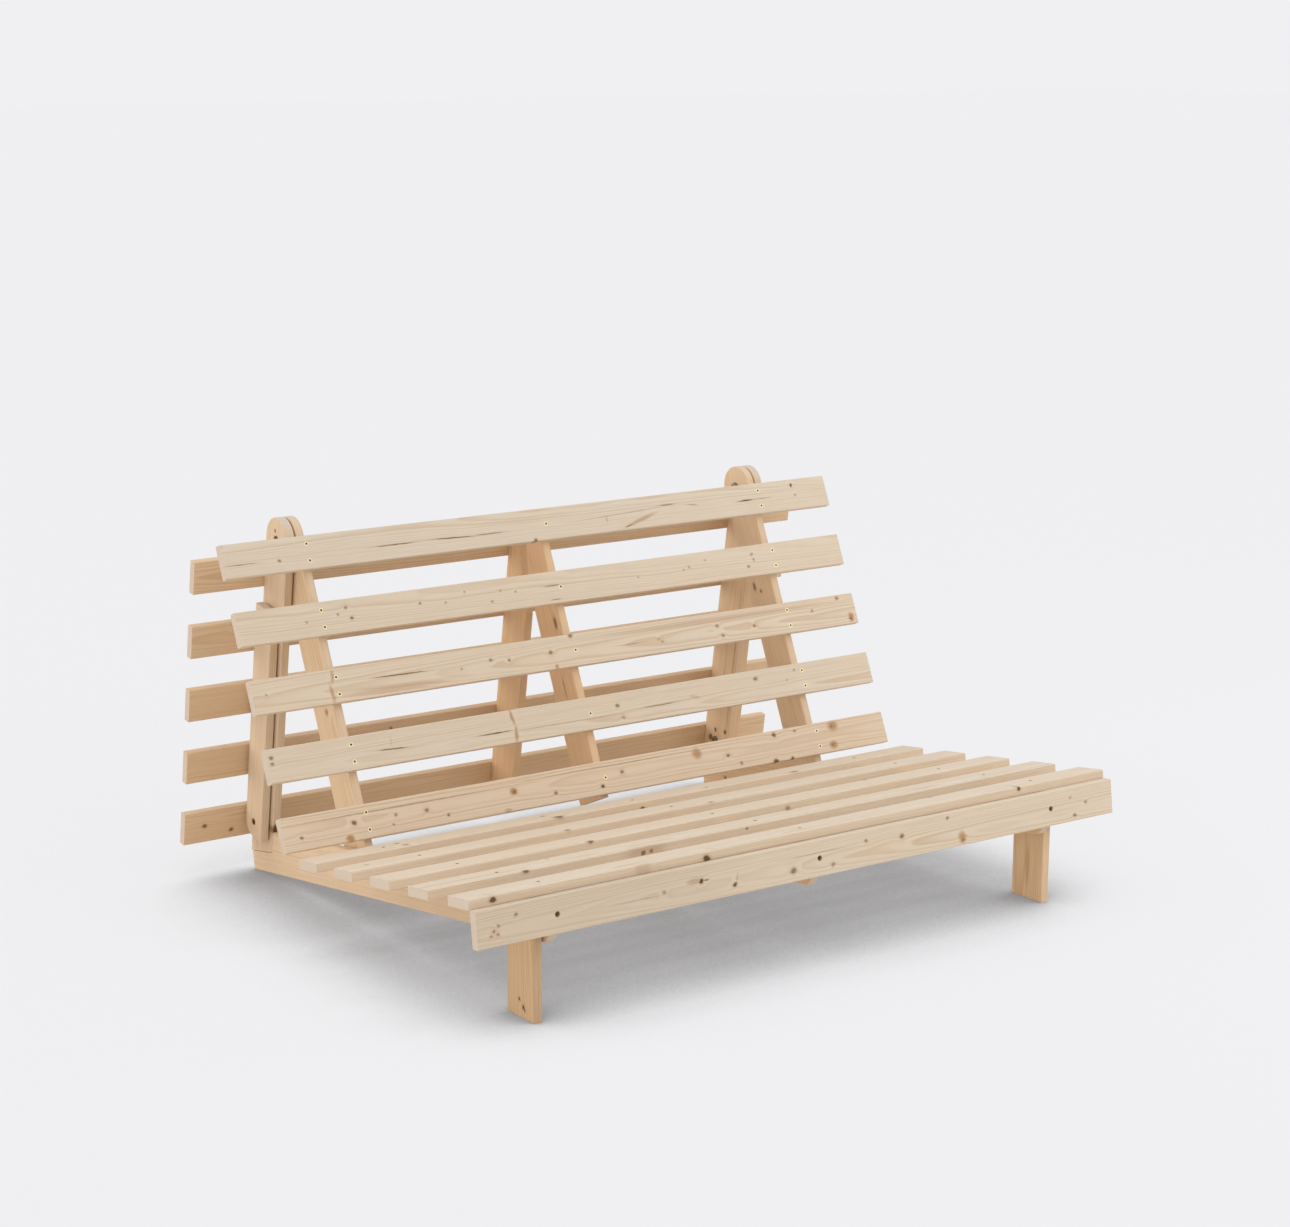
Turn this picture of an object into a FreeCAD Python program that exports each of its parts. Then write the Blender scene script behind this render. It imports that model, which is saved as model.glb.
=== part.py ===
import FreeCAD, Part
import math
import os
import Sketcher

# A folding futon frame of plain softwood boards: a seat, a back and a rear section of five
# slats each. Back and rear stand as an A on the seat rails and fold out flat to a bed.
# Millimetres and degrees, +Z up, X along the slats, the front towards -Y.
# The origin is on the floor at the middle of the frame's bounding box.

SLATS = 5
SIDES = (("left", -1), ("right", 1))

SIZES = (
    ("slat_length", 1400, "length of the slats and of the front board"),
    ("slat_width", 64, "width of a slat"),
    ("slat_thickness", 17, "thickness of a slat"),
    ("slat_pitch", 127, "step from one slat to the next"),
    ("slat_setback", 2, "rails' front ends to the first seat slat"),
    ("edge_round", 2, "rounding of the boards' long edges"),
    ("rail_depth", 81, "depth of a rail, edge to edge"),
    ("rail_thickness", 17, "thickness of rails, legs and stays"),
    ("layer_gap", 3, "gap between boards that turn beside each other"),
    ("slat_overhang", 174.5, "slat's end to a back rail's middle"),
    ("rail_nose", 20, "rounding of the seat rails' lower front corner"),
    ("seat_slope_angle", 7.65, "fall of the seat towards the rear"),
    ("back_lean_angle", 23.6, "lean of the back from upright"),
    ("rear_lean_angle", 8.7, "lean of the rear section from upright"),
    ("back_pivot_reach", 660, "seat rail's front end to the back pivot"),
    ("bed_clearance", 0.5, "back slats over the seat rails in the bed"),
    ("back_first_slat", 48, "back pivot to the lowest back slat"),
    ("back_pivot_spacing", 631, "back pivot to top pivot"),
    ("rear_first_slat", 42, "top pivot to the highest rear slat"),
    ("centre_overhang", 5, "centre rails past the slats at their free ends"),
    ("centre_taper_angle", 18, "slope of the cuts that keep the centre rails apart"),
    ("back_taper_reach", 138, "top pivot to the start of the centre back rail's cut"),
    ("rear_taper_reach", 202, "top pivot to the start of the centre rear rail's cut"),
    ("notch_depth", 40, "depth of the seat rails' notch for the rear feet"),
    ("notch_run", 80, "notch's inner corner to the seat rail's rear end"),
    ("notch_fall_angle", 3, "fall of the notch floor towards its open end"),
    ("foot_clearance", 0.5, "rear foot to the notch walls"),
    ("leg_width", 80, "width of a front leg"),
    ("leg_pivot_reach", 53.5, "seat rail's front end to the leg pivot"),
    ("stay_width", 63, "width of a stay"),
    ("stay_length", 436, "stay pivot to the stay's square end"),
    ("stay_pivot_rise", 51.5, "rear rail's foot up to the stay pivot"),
    ("board_height", 64, "height of the front board"),
    ("board_thickness", 17, "thickness of the front board"),
    ("board_rise", 1, "front board's top edge above the rails' top edge"),
    ("pivot_diameter", 8, "shank of a pivot bolt"),
    ("pivot_head", 13, "head diameter of a pivot bolt"),
    ("pivot_head_height", 5, "head height of a pivot bolt"),
    ("pivot_sink", 6, "depth of the recess for a pivot bolt's head"),
    ("sink_clearance", 0.5, "pivot bolt's head to the recess wall"),
    ("running_clearance", 0.05, "pivot shank to its hole"),
    ("pivot_play", 0.3, "play along a pivot bolt"),
    ("pivot_socket", 6, "width of the hexagon socket in a pivot bolt"),
    ("socket_depth", 3, "depth of the hexagon sockets"),
    ("nut_width", 13, "pivot nut across its flats"),
    ("nut_height", 6.5, "height of a pivot nut"),
    ("spacer_diameter", 24, "diameter of a pivot spacer"),
    ("joint_diameter", 6, "shank of a front board bolt"),
    ("joint_length", 48, "front board bolt under its head"),
    ("joint_head", 9.5, "head diameter of a front board bolt"),
    ("joint_head_height", 5, "head height of a front board bolt"),
    ("joint_sink", 8, "depth of the recess for a board bolt's head"),
    ("joint_socket", 4, "width of the hexagon socket in a board bolt"),
    ("barrel_diameter", 10, "diameter of a barrel nut"),
    ("barrel_length", 15, "length of a barrel nut"),
    ("barrel_reach", 32, "rail's front end to the barrel nut"),
    ("drill_clearance", 0.25, "bolt or barrel nut to its drilled hole"),
    ("screw_diameter", 4, "shank of a slat screw"),
    ("screw_head", 8, "head diameter of a slat screw"),
    ("screw_length", 40, "length of a slat screw"),
    ("screw_row", 16, "slat's middle line to the outer rails' screws"),
)


class Bound:
    """A number together with the sheet expression that it comes from."""

    def __init__(self, text, value):
        self.text = text
        self.value = value

    def joined(self, sign, other, value):
        text = other.text if isinstance(other, Bound) else repr(other)
        return Bound(f"({self.text} {sign} {text})", value)

    def __add__(self, other):
        return self.joined("+", other, self.value + plain(other))

    def __sub__(self, other):
        return self.joined("-", other, self.value - plain(other))

    def __mul__(self, other):
        return self.joined("*", other, self.value * plain(other))

    def __truediv__(self, other):
        return self.joined("/", other, self.value / plain(other))

    def __neg__(self):
        return self * -1


def plain(number):
    """The bare value of a number that may be bound to a sheet."""
    return number.value if isinstance(number, Bound) else number


class Row:
    """The aliases of one sheet, each read as a bound number."""

    def __init__(self, sheet):
        self.sheet = sheet

    def __getattr__(self, alias):
        return Bound(f"{self.sheet.Name}.{alias}", self.sheet.get(alias))


def make_sheet(name, rows):
    """Fill a spreadsheet with named numbers."""
    sheet = doc.addObject("Spreadsheet::Sheet", name)
    for line, (alias, value, meaning) in enumerate(rows, start=1):
        sheet.set(f"A{line}", alias)
        sheet.set(f"B{line}", str(value))
        sheet.set(f"C{line}", meaning)
        sheet.setAlias(f"B{line}", alias)
    doc.recompute()
    return Row(sheet)


def lean_angles(row):
    """Slope of the seat and lean of the back and the rear section, in radians."""
    return [math.radians(plain(angle)) for angle in (row.seat_slope_angle, row.back_lean_angle, row.rear_lean_angle)]


def work_out(row):
    """Lay out the side view: where the pivots are and how the rear foot meets the seat rail."""
    slope, lean, rear = lean_angles(row)
    depth = plain(row.rail_depth)
    fold = slope + rear
    pivot_along = plain(row.back_pivot_reach)
    pivot_up = depth / 2 + plain(row.bed_clearance)
    spacing = plain(row.back_pivot_spacing)
    top_along = pivot_along + spacing * math.sin(lean - slope)
    top_up = pivot_up + spacing * math.cos(lean - slope)
    floor_up = depth - plain(row.notch_depth)
    foot_front = (top_up - depth / 2 * math.sin(fold) - floor_up) / math.cos(fold)
    foot_along = top_along + foot_front * math.sin(fold) - depth / 2 * math.cos(fold)
    fall = math.radians(plain(row.notch_fall_angle))
    foot_rear = foot_front + depth * math.tan(fold + fall)
    clear = plain(row.foot_clearance)
    wall_along = foot_along - clear / math.cos(fold)
    notch_up = floor_up - clear / math.cos(fall)
    wall_lean = math.tan(fold)
    corner_along = wall_along + (floor_up - notch_up) * wall_lean
    notch_run = plain(row.notch_run)
    taper = math.tan(math.radians(plain(row.centre_taper_angle)))
    last_slat = plain(row.back_first_slat + row.slat_pitch * (SLATS - 1) + row.slat_width)
    back_cut = (last_slat - spacing + plain(row.back_taper_reach)) * taper
    rear_cut = plain(row.rear_taper_reach - row.rear_first_slat) * taper
    return (
        ("top_along", top_along, "top pivot along the seat rail"),
        ("top_up", top_up, "top pivot above the seat rail's lower edge"),
        ("foot_front", foot_front, "top pivot to the rear rail's foot at its front edge"),
        ("foot_rear", foot_rear, "top pivot to the rear rail's foot at its rear edge"),
        ("notch_corner", corner_along, "seat rail's front end to the notch's inner corner"),
        ("notch_corner_up", notch_up, "notch's inner corner above the rail's lower edge"),
        ("notch_mouth", corner_along - (depth - notch_up) * wall_lean, "front end to the notch's top edge"),
        ("notch_end_up", notch_up - notch_run * math.tan(fall), "notch floor at the rail's end"),
        ("seat_rail_length", corner_along + notch_run, "length of the outer seat rails"),
        ("stay_pivot_reach", foot_front - plain(row.stay_pivot_rise), "top pivot to the stay pivot"),
        ("back_cut", back_cut, "depth cut away at the centre back rail's upper end"),
        ("rear_cut", rear_cut, "depth cut away at the centre rear rail's upper end"),
    )


class Section:
    """A flat frame in the side view: its origin, the way its rails run and the way its slats face."""

    def __init__(self, origin, along, facing):
        self.origin = origin
        self.along = along
        self.facing = facing

    def place(self, along=0, out=0, across=0):
        """Placement of a board whose own x, y and z run along, out and across."""
        across_axis = FreeCAD.Vector(1, 0, 0)
        base = self.origin + self.along * plain(along) + self.facing * plain(out)
        base = base + across_axis * plain(across)
        turn = FreeCAD.Rotation(self.along, self.facing, across_axis, "ZXY")
        return FreeCAD.Placement(base, turn)


def side_vector(y, z):
    return FreeCAD.Vector(0, y, z)


def lay_sections():
    """Stand the seat on its rails' rear corners and hang the back and the rear section on their pivots."""
    slope, lean, rear = lean_angles(size)
    seat_along = side_vector(math.cos(slope), -math.sin(slope))
    seat_facing = side_vector(math.sin(slope), math.cos(slope))
    back_along = side_vector(math.sin(lean), math.cos(lean))
    back_facing = side_vector(-math.cos(lean), math.sin(lean))
    rear_along = side_vector(math.sin(rear), -math.cos(rear))
    rear_facing = side_vector(math.cos(rear), math.sin(rear))
    start = side_vector(0, plain(layout.seat_rail_length) * math.sin(slope))
    top = start + seat_along * plain(layout.top_along) + seat_facing * plain(layout.top_up)
    radius = plain(size.edge_round)
    board_low = plain(size.rail_depth + size.board_rise - size.board_height)
    front = start + seat_along * (radius - plain(size.board_thickness)) + seat_facing * (board_low + radius)
    last_edge = plain(size.rear_first_slat + size.slat_pitch * (SLATS - 1) + size.slat_width)
    outside = plain(size.rail_depth / 2 + size.slat_thickness)
    back_end = top + rear_along * (last_edge - radius) + rear_facing * (outside - radius)
    middle = side_vector((front.y - radius + back_end.y + radius) / 2, 0)
    seat = Section(start - middle, seat_along, seat_facing)
    pivot = seat.place(size.back_pivot_reach, size.rail_depth / 2 + size.bed_clearance).Base
    return seat, Section(pivot, back_along, back_facing), Section(top - middle, rear_along, rear_facing)


def bind(feature, name, number):
    """Set a property and keep it bound to the sheet."""
    feature.setExpression(name, number.text if isinstance(number, Bound) else repr(number))


def new_body(label, placement):
    body = doc.addObject("PartDesign::Body", label)
    body.Label = label
    body.Placement = placement
    return body


def new_sketch(body, plane, lift=0):
    """A sketch on one of the body's own planes, lifted along its normal."""
    sketch = body.newObject("Sketcher::SketchObject", f"{body.Name}_sketch")
    planes = {item.Role: item for item in body.Origin.OriginFeatures}
    sketch.AttachmentSupport = [(planes[plane], "")]
    sketch.MapMode = "FlatFace"
    sketch.AttachmentOffset = FreeCAD.Placement(FreeCAD.Vector(0, 0, plain(lift)), FreeCAD.Rotation())
    if isinstance(lift, Bound):
        sketch.setExpression("AttachmentOffset.Base.z", lift.text)
    return sketch


def hold(sketch, kind, item, spot, number):
    """Hold one coordinate of a point at a bound number from the sketch's origin."""
    index = sketch.addConstraint(Sketcher.Constraint(kind, -1, 1, item, spot, plain(number)))
    if isinstance(number, Bound):
        sketch.setExpression(f"Constraints[{index}]", number.text)


def draw_outline(sketch, steps):
    """Draw a closed outline anticlockwise. A step is the point (x, y) that a line starts from,
    or (x, y, centre x, centre y) where an arc about that centre starts."""
    spots = [FreeCAD.Vector(plain(step[0]), plain(step[1]), 0) for step in steps]
    for index, step in enumerate(steps):
        start = spots[index]
        end = spots[(index + 1) % len(steps)]
        if len(step) == 2:
            sketch.addGeometry(Part.LineSegment(start, end), False)
            continue
        centre = FreeCAD.Vector(plain(step[2]), plain(step[3]), 0)
        circle = Part.Circle(centre, FreeCAD.Vector(0, 0, 1), (start - centre).Length)
        arc = Part.ArcOfCircle(circle, circle.parameter(start), circle.parameter(end))
        sketch.addGeometry(arc, False)
    for index, step in enumerate(steps):
        following = (index + 1) % len(steps)
        sketch.addConstraint(Sketcher.Constraint("Coincident", index, 2, following, 1))
        hold(sketch, "DistanceX", index, 1, step[0])
        hold(sketch, "DistanceY", index, 1, step[1])
        if len(step) == 4:
            chord = spots[following] - spots[index]
            upright = abs(chord.y) >= abs(chord.x)
            hold(sketch, "DistanceX" if upright else "DistanceY", index, 3, step[2] if upright else step[3])


def draw_circles(sketch, centres, radius):
    """Draw equal circles, with their centres and their radius bound to the sheet."""
    for index, (x, y) in enumerate(centres):
        spot = FreeCAD.Vector(plain(x), plain(y), 0)
        sketch.addGeometry(Part.Circle(spot, FreeCAD.Vector(0, 0, 1), plain(radius)), False)
        hold(sketch, "DistanceX", index, 3, x)
        hold(sketch, "DistanceY", index, 3, y)
        order = sketch.addConstraint(Sketcher.Constraint("Radius", index, plain(radius)))
        sketch.setExpression(f"Constraints[{order}]", radius.text)


def pad_across(body, sketch, thickness):
    """Pad a side view to both sides of its plane."""
    pad = body.newObject("PartDesign::Pad", f"{body.Name}_pad")
    pad.Profile = sketch
    pad.SideType = "Symmetric"
    bind(pad, "Length", thickness)
    doc.recompute()
    return pad


def round_sides(body, pad):
    """Ease the edges all round both wide faces of a board."""
    names = []
    for index, edge in enumerate(pad.Shape.Edges, start=1):
        box = edge.BoundBox
        if box.ZLength < 1e-6:
            names.append(f"Edge{index}")
    fillet = body.newObject("PartDesign::Fillet", f"{body.Name}_eased")
    fillet.Base = (pad, names)
    bind(fillet, "Radius", size.edge_round)
    doc.recompute()


def cut_circles(body, plane, centres, radius, depth=None, lift=0, towards=1):
    """Drill round holes: right through, or to a depth from a lifted face, towards the plane's
    positive or negative side."""
    before = body.Shape.Volume
    sketch = new_sketch(body, plane, lift)
    draw_circles(sketch, centres, radius)
    pocket = body.newObject("PartDesign::Pocket", f"{body.Name}_drilled")
    pocket.Profile = sketch
    if depth is None:
        pocket.Type = "ThroughAll"
        pocket.SideType = "Symmetric"
    else:
        pocket.Reversed = towards > 0
        bind(pocket, "Length", depth)
    doc.recompute()
    if body.Shape.Volume >= before:
        raise RuntimeError(f"{body.Label}: a hole cut nothing")


def pivot_hole(body, x, y):
    """The running hole of a pivot bolt through a board."""
    cut_circles(body, "XY_Plane", [(x, y)], size.pivot_diameter / 2 + size.running_clearance)


def pivot_recess(body, x, y, side):
    """The round recess for a pivot bolt's head in the board's outer face."""
    radius = size.pivot_head / 2 + size.sink_clearance
    face = size.rail_thickness / 2 * side
    cut_circles(body, "XY_Plane", [(x, y)], radius, size.pivot_sink, face, -side)


def across(layer, side):
    """Middle plane of a board: layer 0 is a back rail, each next layer lies outside it."""
    innermost = size.slat_length / 2 - size.slat_overhang
    return (innermost + (size.rail_thickness + size.layer_gap) * layer) * side


def make_bar(label, placement, width, thickness):
    """A bar of the slats' length whose section has its four long edges rounded."""
    body = new_body(label, placement)
    radius = size.edge_round
    zero = width * 0
    steps = [
        (radius, zero), (width - radius, zero, width - radius, radius),
        (width, radius), (width, thickness - radius, width - radius, thickness - radius),
        (width - radius, thickness), (radius, thickness, radius, thickness - radius),
        (zero, thickness - radius), (zero, radius, radius, radius),
    ]
    sketch = new_sketch(body, "XY_Plane")
    draw_outline(sketch, steps)
    pad_across(body, sketch, size.slat_length)
    return body


def screw_places(rail_across, centre_across, rows):
    """Where a slat's screws go: one over the centre rail, and one or two rows over the outer rails."""
    middle = size.slat_width / 2
    places = [(middle, centre_across)]
    for row in rows:
        for side in (-1, 1):
            places.append((middle + size.screw_row * row, rail_across * side))
    return places


def make_slat(label, section, along, out, places):
    """A slat with countersunk holes, lying on its rails' edges."""
    body = make_bar(label, section.place(along, out), size.slat_width, size.slat_thickness)
    before = body.Shape.Volume
    sketch = new_sketch(body, "XZ_Plane", -size.slat_thickness)
    draw_circles(sketch, places, size.screw_diameter / 2)
    doc.recompute()
    hole = body.newObject("PartDesign::Hole", f"{body.Name}_screw_holes")
    hole.Profile = sketch
    doc.recompute()
    hole.ThreadType = "None"
    hole.HoleCutType = "Countersink"
    hole.HoleCutCountersinkAngle = 90
    hole.DepthType = "ThroughAll"
    hole.Reversed = True
    bind(hole, "Diameter", size.screw_diameter)
    bind(hole, "HoleCutDiameter", size.screw_head)
    doc.recompute()
    if body.Shape.Volume >= before:
        raise RuntimeError(f"{label}: the screw holes cut nothing")
    return body


def make_slats():
    """The three sets of slats and the wood screws that hold them."""
    half = size.rail_depth / 2
    middle = half * 0
    sets = (
        ("seat", seat, size.slat_setback, size.rail_depth, screw_places(across(1, 1), middle, (0,))),
        ("back", back, size.back_first_slat, half, screw_places(across(0, 1), middle, (-1, 1))),
        ("rear", rear, size.rear_first_slat, half, screw_places(across(1, 1), middle, (-1, 1))),
    )
    for name, section, first, out, places in sets:
        starts = [first + size.slat_pitch * number for number in range(SLATS)]
        for number, start in enumerate(starts, start=1):
            nodes.append(make_slat(f"{name}_slat_{number}", section, start, out, places))
        nodes.append(make_screws(f"{name}_slat_screws", section, starts, out, places))


def make_screws(label, section, starts, out, places):
    """One set of countersunk wood screws, flush with the slats' faces."""
    shank = plain(size.screw_diameter) / 2
    head = plain(size.screw_head) / 2
    length = plain(size.screw_length)
    taper = head - shank
    point = 2 * shank
    profile = [(0, 0), (head, 0), (shank, -taper), (shank, point - length), (0, -length), (0, 0)]
    wire = Part.makePolygon([FreeCAD.Vector(x, y, 0) for x, y in profile])
    screw = Part.Face(wire).revolve(FreeCAD.Vector(0, 0, 0), FreeCAD.Vector(0, 1, 0), 360)
    solids = []
    face = out + size.slat_thickness
    for start in starts:
        for along, sideways in places:
            copy = screw.copy()
            copy.Placement = section.place(start + along, face, sideways)
            solids.append(copy)
    group = doc.addObject("Part::Feature", label)
    group.Label = label
    group.Shape = Part.makeCompound(solids)
    return group


def make_outer_seat_rail(name, side):
    """An outer seat rail: rounded nose, a notch for the rear foot, pivot and joint holes."""
    depth = size.rail_depth
    length = layout.seat_rail_length
    nose = size.rail_nose
    zero = depth * 0
    body = new_body(f"seat_rail_{name}", seat.place(across=across(1, side)))
    sketch = new_sketch(body, "XY_Plane")
    draw_outline(sketch, [
        (nose, zero), (length, zero), (length, layout.notch_end_up),
        (layout.notch_corner, layout.notch_corner_up), (layout.notch_mouth, depth),
        (zero, depth), (zero, nose, nose, nose),
    ])
    round_sides(body, pad_across(body, sketch, size.rail_thickness))
    pivot_up = depth / 2 + size.bed_clearance
    pivot_hole(body, size.back_pivot_reach, pivot_up)
    pivot_recess(body, size.back_pivot_reach, pivot_up, side)
    pivot_hole(body, size.leg_pivot_reach, depth / 2)
    drill_joint(body)
    return body


def make_centre_seat_rail():
    """The shorter seat rail in the middle, which ends under the last seat slat."""
    depth = size.rail_depth
    nose = size.rail_nose
    zero = depth * 0
    length = size.slat_setback + size.slat_pitch * (SLATS - 1) + size.slat_width
    body = new_body("seat_rail_centre", seat.place())
    sketch = new_sketch(body, "XY_Plane")
    draw_outline(sketch, [
        (nose, zero), (length, zero), (length, depth), (zero, depth), (zero, nose, nose, nose),
    ])
    round_sides(body, pad_across(body, sketch, size.rail_thickness))
    drill_joint(body)
    return body


def joint_height():
    """Height of the front board's bolts above the seat rails' lower edge."""
    return size.rail_depth + size.board_rise - size.board_height / 2


def drill_joint(body):
    """The long hole for a front board bolt in the rail's end and the cross hole for its barrel nut."""
    bolt = size.joint_diameter / 2 + size.drill_clearance
    height = joint_height()
    depth = size.joint_length - size.board_thickness + size.joint_sink + size.drill_clearance * 4
    cut_circles(body, "YZ_Plane", [(height, height * 0)], bolt, depth, 0, 1)
    barrel = size.barrel_diameter / 2
    cut_circles(body, "XY_Plane", [(size.barrel_reach, height)], barrel)


def make_back_rails():
    """Two outer back rails, rounded about both pivots, and a centre rail cut narrower at the top."""
    half = size.rail_depth / 2
    span = size.back_pivot_spacing
    zero = half * 0
    rails = []
    for name, side in SIDES:
        body = new_body(f"back_rail_{name}", back.place(across=across(0, side)))
        sketch = new_sketch(body, "XY_Plane")
        draw_outline(sketch, [
            (zero, -half), (span, -half, span, zero), (span, half), (zero, half, zero, zero),
        ])
        round_sides(body, pad_across(body, sketch, size.rail_thickness))
        pivot_hole(body, zero, zero)
        pivot_hole(body, span, zero)
        rails.append(body)
    low = size.back_first_slat - size.centre_overhang
    high = size.back_first_slat + size.slat_pitch * (SLATS - 1) + size.slat_width
    narrows = span - size.back_taper_reach
    outline = [(low, -half), (narrows, -half), (high, layout.back_cut - half), (high, half), (low, half)]
    rails.append(make_centre_rail("back_rail_centre", back, outline))
    return rails


def make_centre_rail(label, section, outline):
    """A straight-edged rail in the middle of its section."""
    body = new_body(label, section.place())
    sketch = new_sketch(body, "XY_Plane")
    draw_outline(sketch, outline)
    round_sides(body, pad_across(body, sketch, size.rail_thickness))
    return body


def make_rear_rails():
    """Two outer rear rails, rounded about the top pivot and cut to stand in the notches, and a
    centre rail cut narrower at the top."""
    half = size.rail_depth / 2
    zero = half * 0
    rails = []
    for name, side in SIDES:
        body = new_body(f"rear_rail_{name}", rear.place(across=across(1, side)))
        sketch = new_sketch(body, "XY_Plane")
        draw_outline(sketch, [
            (zero, -half), (layout.foot_front, -half), (layout.foot_rear, half), (zero, half, zero, zero),
        ])
        round_sides(body, pad_across(body, sketch, size.rail_thickness))
        pivot_hole(body, zero, zero)
        pivot_recess(body, zero, zero, side)
        pivot_hole(body, layout.stay_pivot_reach, zero)
        rails.append(body)
    low = size.rear_first_slat
    high = low + size.slat_pitch * (SLATS - 1) + size.slat_width + size.centre_overhang
    narrows = size.rear_taper_reach
    outline = [(low, layout.rear_cut - half), (narrows, -half), (high, -half), (high, half), (low, half)]
    rails.append(make_centre_rail("rear_rail_centre", rear, outline))
    return rails


def leg_section():
    """An upright side view about the leg pivots: x runs down to the floor, y to the rear."""
    pivot = seat.place(size.leg_pivot_reach, size.rail_depth / 2).Base
    return Section(pivot, side_vector(0, -1), side_vector(1, 0))


def make_legs():
    """Front legs: rounded about the pivot, square on the floor."""
    half = size.leg_width / 2
    zero = half * 0
    upright = leg_section()
    foot = upright.origin.z
    legs = []
    for name, side in SIDES:
        body = new_body(f"leg_{name}", upright.place(across=across(2, side)))
        sketch = new_sketch(body, "XY_Plane")
        draw_outline(sketch, [(zero, -half), (foot, -half), (foot, half), (zero, half, zero, zero)])
        round_sides(body, pad_across(body, sketch, size.rail_thickness))
        pivot_hole(body, zero, zero)
        pivot_recess(body, zero, zero, side)
        legs.append(body)
    return legs


def make_stays():
    """Stays along the rear rails: square but for the lower rear corner, rounded about the pivot."""
    half = size.stay_width / 2
    low = layout.stay_pivot_reach - size.stay_length
    pivot = layout.stay_pivot_reach
    zero = half * 0
    stays = []
    for name, side in SIDES:
        body = new_body(f"stay_{name}", rear.place(across=across(2, side)))
        sketch = new_sketch(body, "XY_Plane")
        foot = pivot + half
        draw_outline(sketch, [
            (low, -half), (foot, -half), (foot, zero, pivot, zero), (pivot, half), (low, half),
        ])
        round_sides(body, pad_across(body, sketch, size.rail_thickness))
        pivot_hole(body, pivot, zero)
        pivot_recess(body, pivot, zero, side)
        stays.append(body)
    return stays


def make_front_board():
    """The board across the seat rails' front ends, with three recessed bolt holes."""
    low = size.rail_depth + size.board_rise - size.board_height
    turned = Section(seat.origin, seat.facing, seat.along * -1)
    body = make_bar("front_board", turned.place(low), size.board_height, size.board_thickness)
    middle = size.board_height / 2
    outer = across(1, 1)
    places = [(middle, outer * side) for side in (-1, 0, 1)]
    cut_circles(body, "XZ_Plane", places, size.joint_diameter / 2 + size.drill_clearance)
    recess = size.joint_head / 2 + size.drill_clearance
    cut_circles(body, "XZ_Plane", places, recess, size.joint_sink, -size.board_thickness, 1)
    return body


def cylinder(radius, height, start=0):
    """A plain cylinder along Z."""
    return Part.makeCylinder(plain(radius), plain(height), FreeCAD.Vector(0, 0, plain(start)))


def hexagon(width, height, start=0):
    """A hexagonal bar along Z, given its width across the flats."""
    radius = plain(width) / math.sqrt(3)
    corners = [math.radians(60 * number) for number in range(7)]
    wire = Part.makePolygon([FreeCAD.Vector(radius * math.cos(turn), radius * math.sin(turn), plain(start))
                             for turn in corners])
    return Part.Face(wire).extrude(FreeCAD.Vector(0, 0, plain(height)))


def socket_bolt(shank, length, head, head_height, socket):
    """A socket-head bolt along Z: the head lies below zero, the shank above it."""
    solid = cylinder(head / 2, head_height, -head_height).fuse(cylinder(shank / 2, length)).removeSplitter()
    return solid.cut(hexagon(socket, size.socket_depth, -head_height))


def add_group(label, shape, places):
    """A node of equal fasteners, one solid at each placement."""
    solids = []
    for place in places:
        copy = shape.copy()
        copy.Placement = place
        solids.append(copy)
    group = doc.addObject("Part::Feature", label)
    group.Label = label
    group.Shape = Part.makeCompound(solids)
    nodes.append(group)


def make_pivot(name, centre, layer, floats):
    """Bolts, spacers and nuts of one pair of pivots. The outer boards are in the given layer and
    the inner boards one layer further in. Where the outer board turns on the bolt, the head
    floats clear of its recess; otherwise the nut and spacer stand clear of the inner board."""
    thick = size.rail_thickness
    play = size.pivot_play
    lift = play if floats else play * 0
    clear = play * 0 if floats else play
    grip = thick - size.pivot_sink + size.layer_gap + thick + lift + clear
    bolt = socket_bolt(size.pivot_diameter, grip + size.nut_height, size.pivot_head,
                       size.pivot_head_height, size.pivot_socket)
    bore = cylinder(size.pivot_diameter / 2, size.nut_height)
    nut = hexagon(size.nut_width, size.nut_height).cut(bore)
    height = size.layer_gap - play
    spacer = cylinder(size.spacer_diameter / 2, height)
    spacer = spacer.cut(cylinder(size.pivot_diameter / 2, height))
    seats = {"bolts": (bolt, size.pivot_sink - lift), "nuts": (nut, size.pivot_sink - lift + grip),
             "spacers": (spacer, thick + lift)}
    for kind, (shape, depth) in seats.items():
        places = []
        for _, side in SIDES:
            outside = plain(across(layer, side)) + side * plain(thick) / 2
            base = FreeCAD.Vector(outside - side * plain(depth), centre.y, centre.z)
            inward = FreeCAD.Rotation(FreeCAD.Vector(0, 0, 1), FreeCAD.Vector(-side, 0, 0))
            places.append(FreeCAD.Placement(base, inward))
        add_group(f"{name}_pivot_{kind}", shape, places)


def make_board_fasteners():
    """The front board's bolts and the barrel nuts that they pull against."""
    bolt = socket_bolt(size.joint_diameter, size.joint_length, size.joint_head,
                       size.joint_head_height, size.joint_socket)
    barrel = cylinder(size.barrel_diameter / 2, size.barrel_length, -size.barrel_length / 2)
    thread = Part.makeCylinder(plain(size.joint_diameter) / 2, plain(size.barrel_diameter) * 2,
                               FreeCAD.Vector(-plain(size.barrel_diameter), 0, 0), FreeCAD.Vector(1, 0, 0))
    barrel = barrel.cut(thread)
    height = joint_height()
    into_rail = FreeCAD.Rotation(FreeCAD.Vector(0, 0, 1), seat.along)
    bolts = []
    barrels = []
    for side in (-1, 0, 1):
        offset = across(1, 1) * side
        seat_of_head = seat.place(size.joint_sink - size.board_thickness, height, offset)
        bolts.append(FreeCAD.Placement(seat_of_head.Base, into_rail))
        barrels.append(seat.place(size.barrel_reach, height, offset))
    add_group("board_bolts", bolt, bolts)
    add_group("board_barrel_nuts", barrel, barrels)


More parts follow.
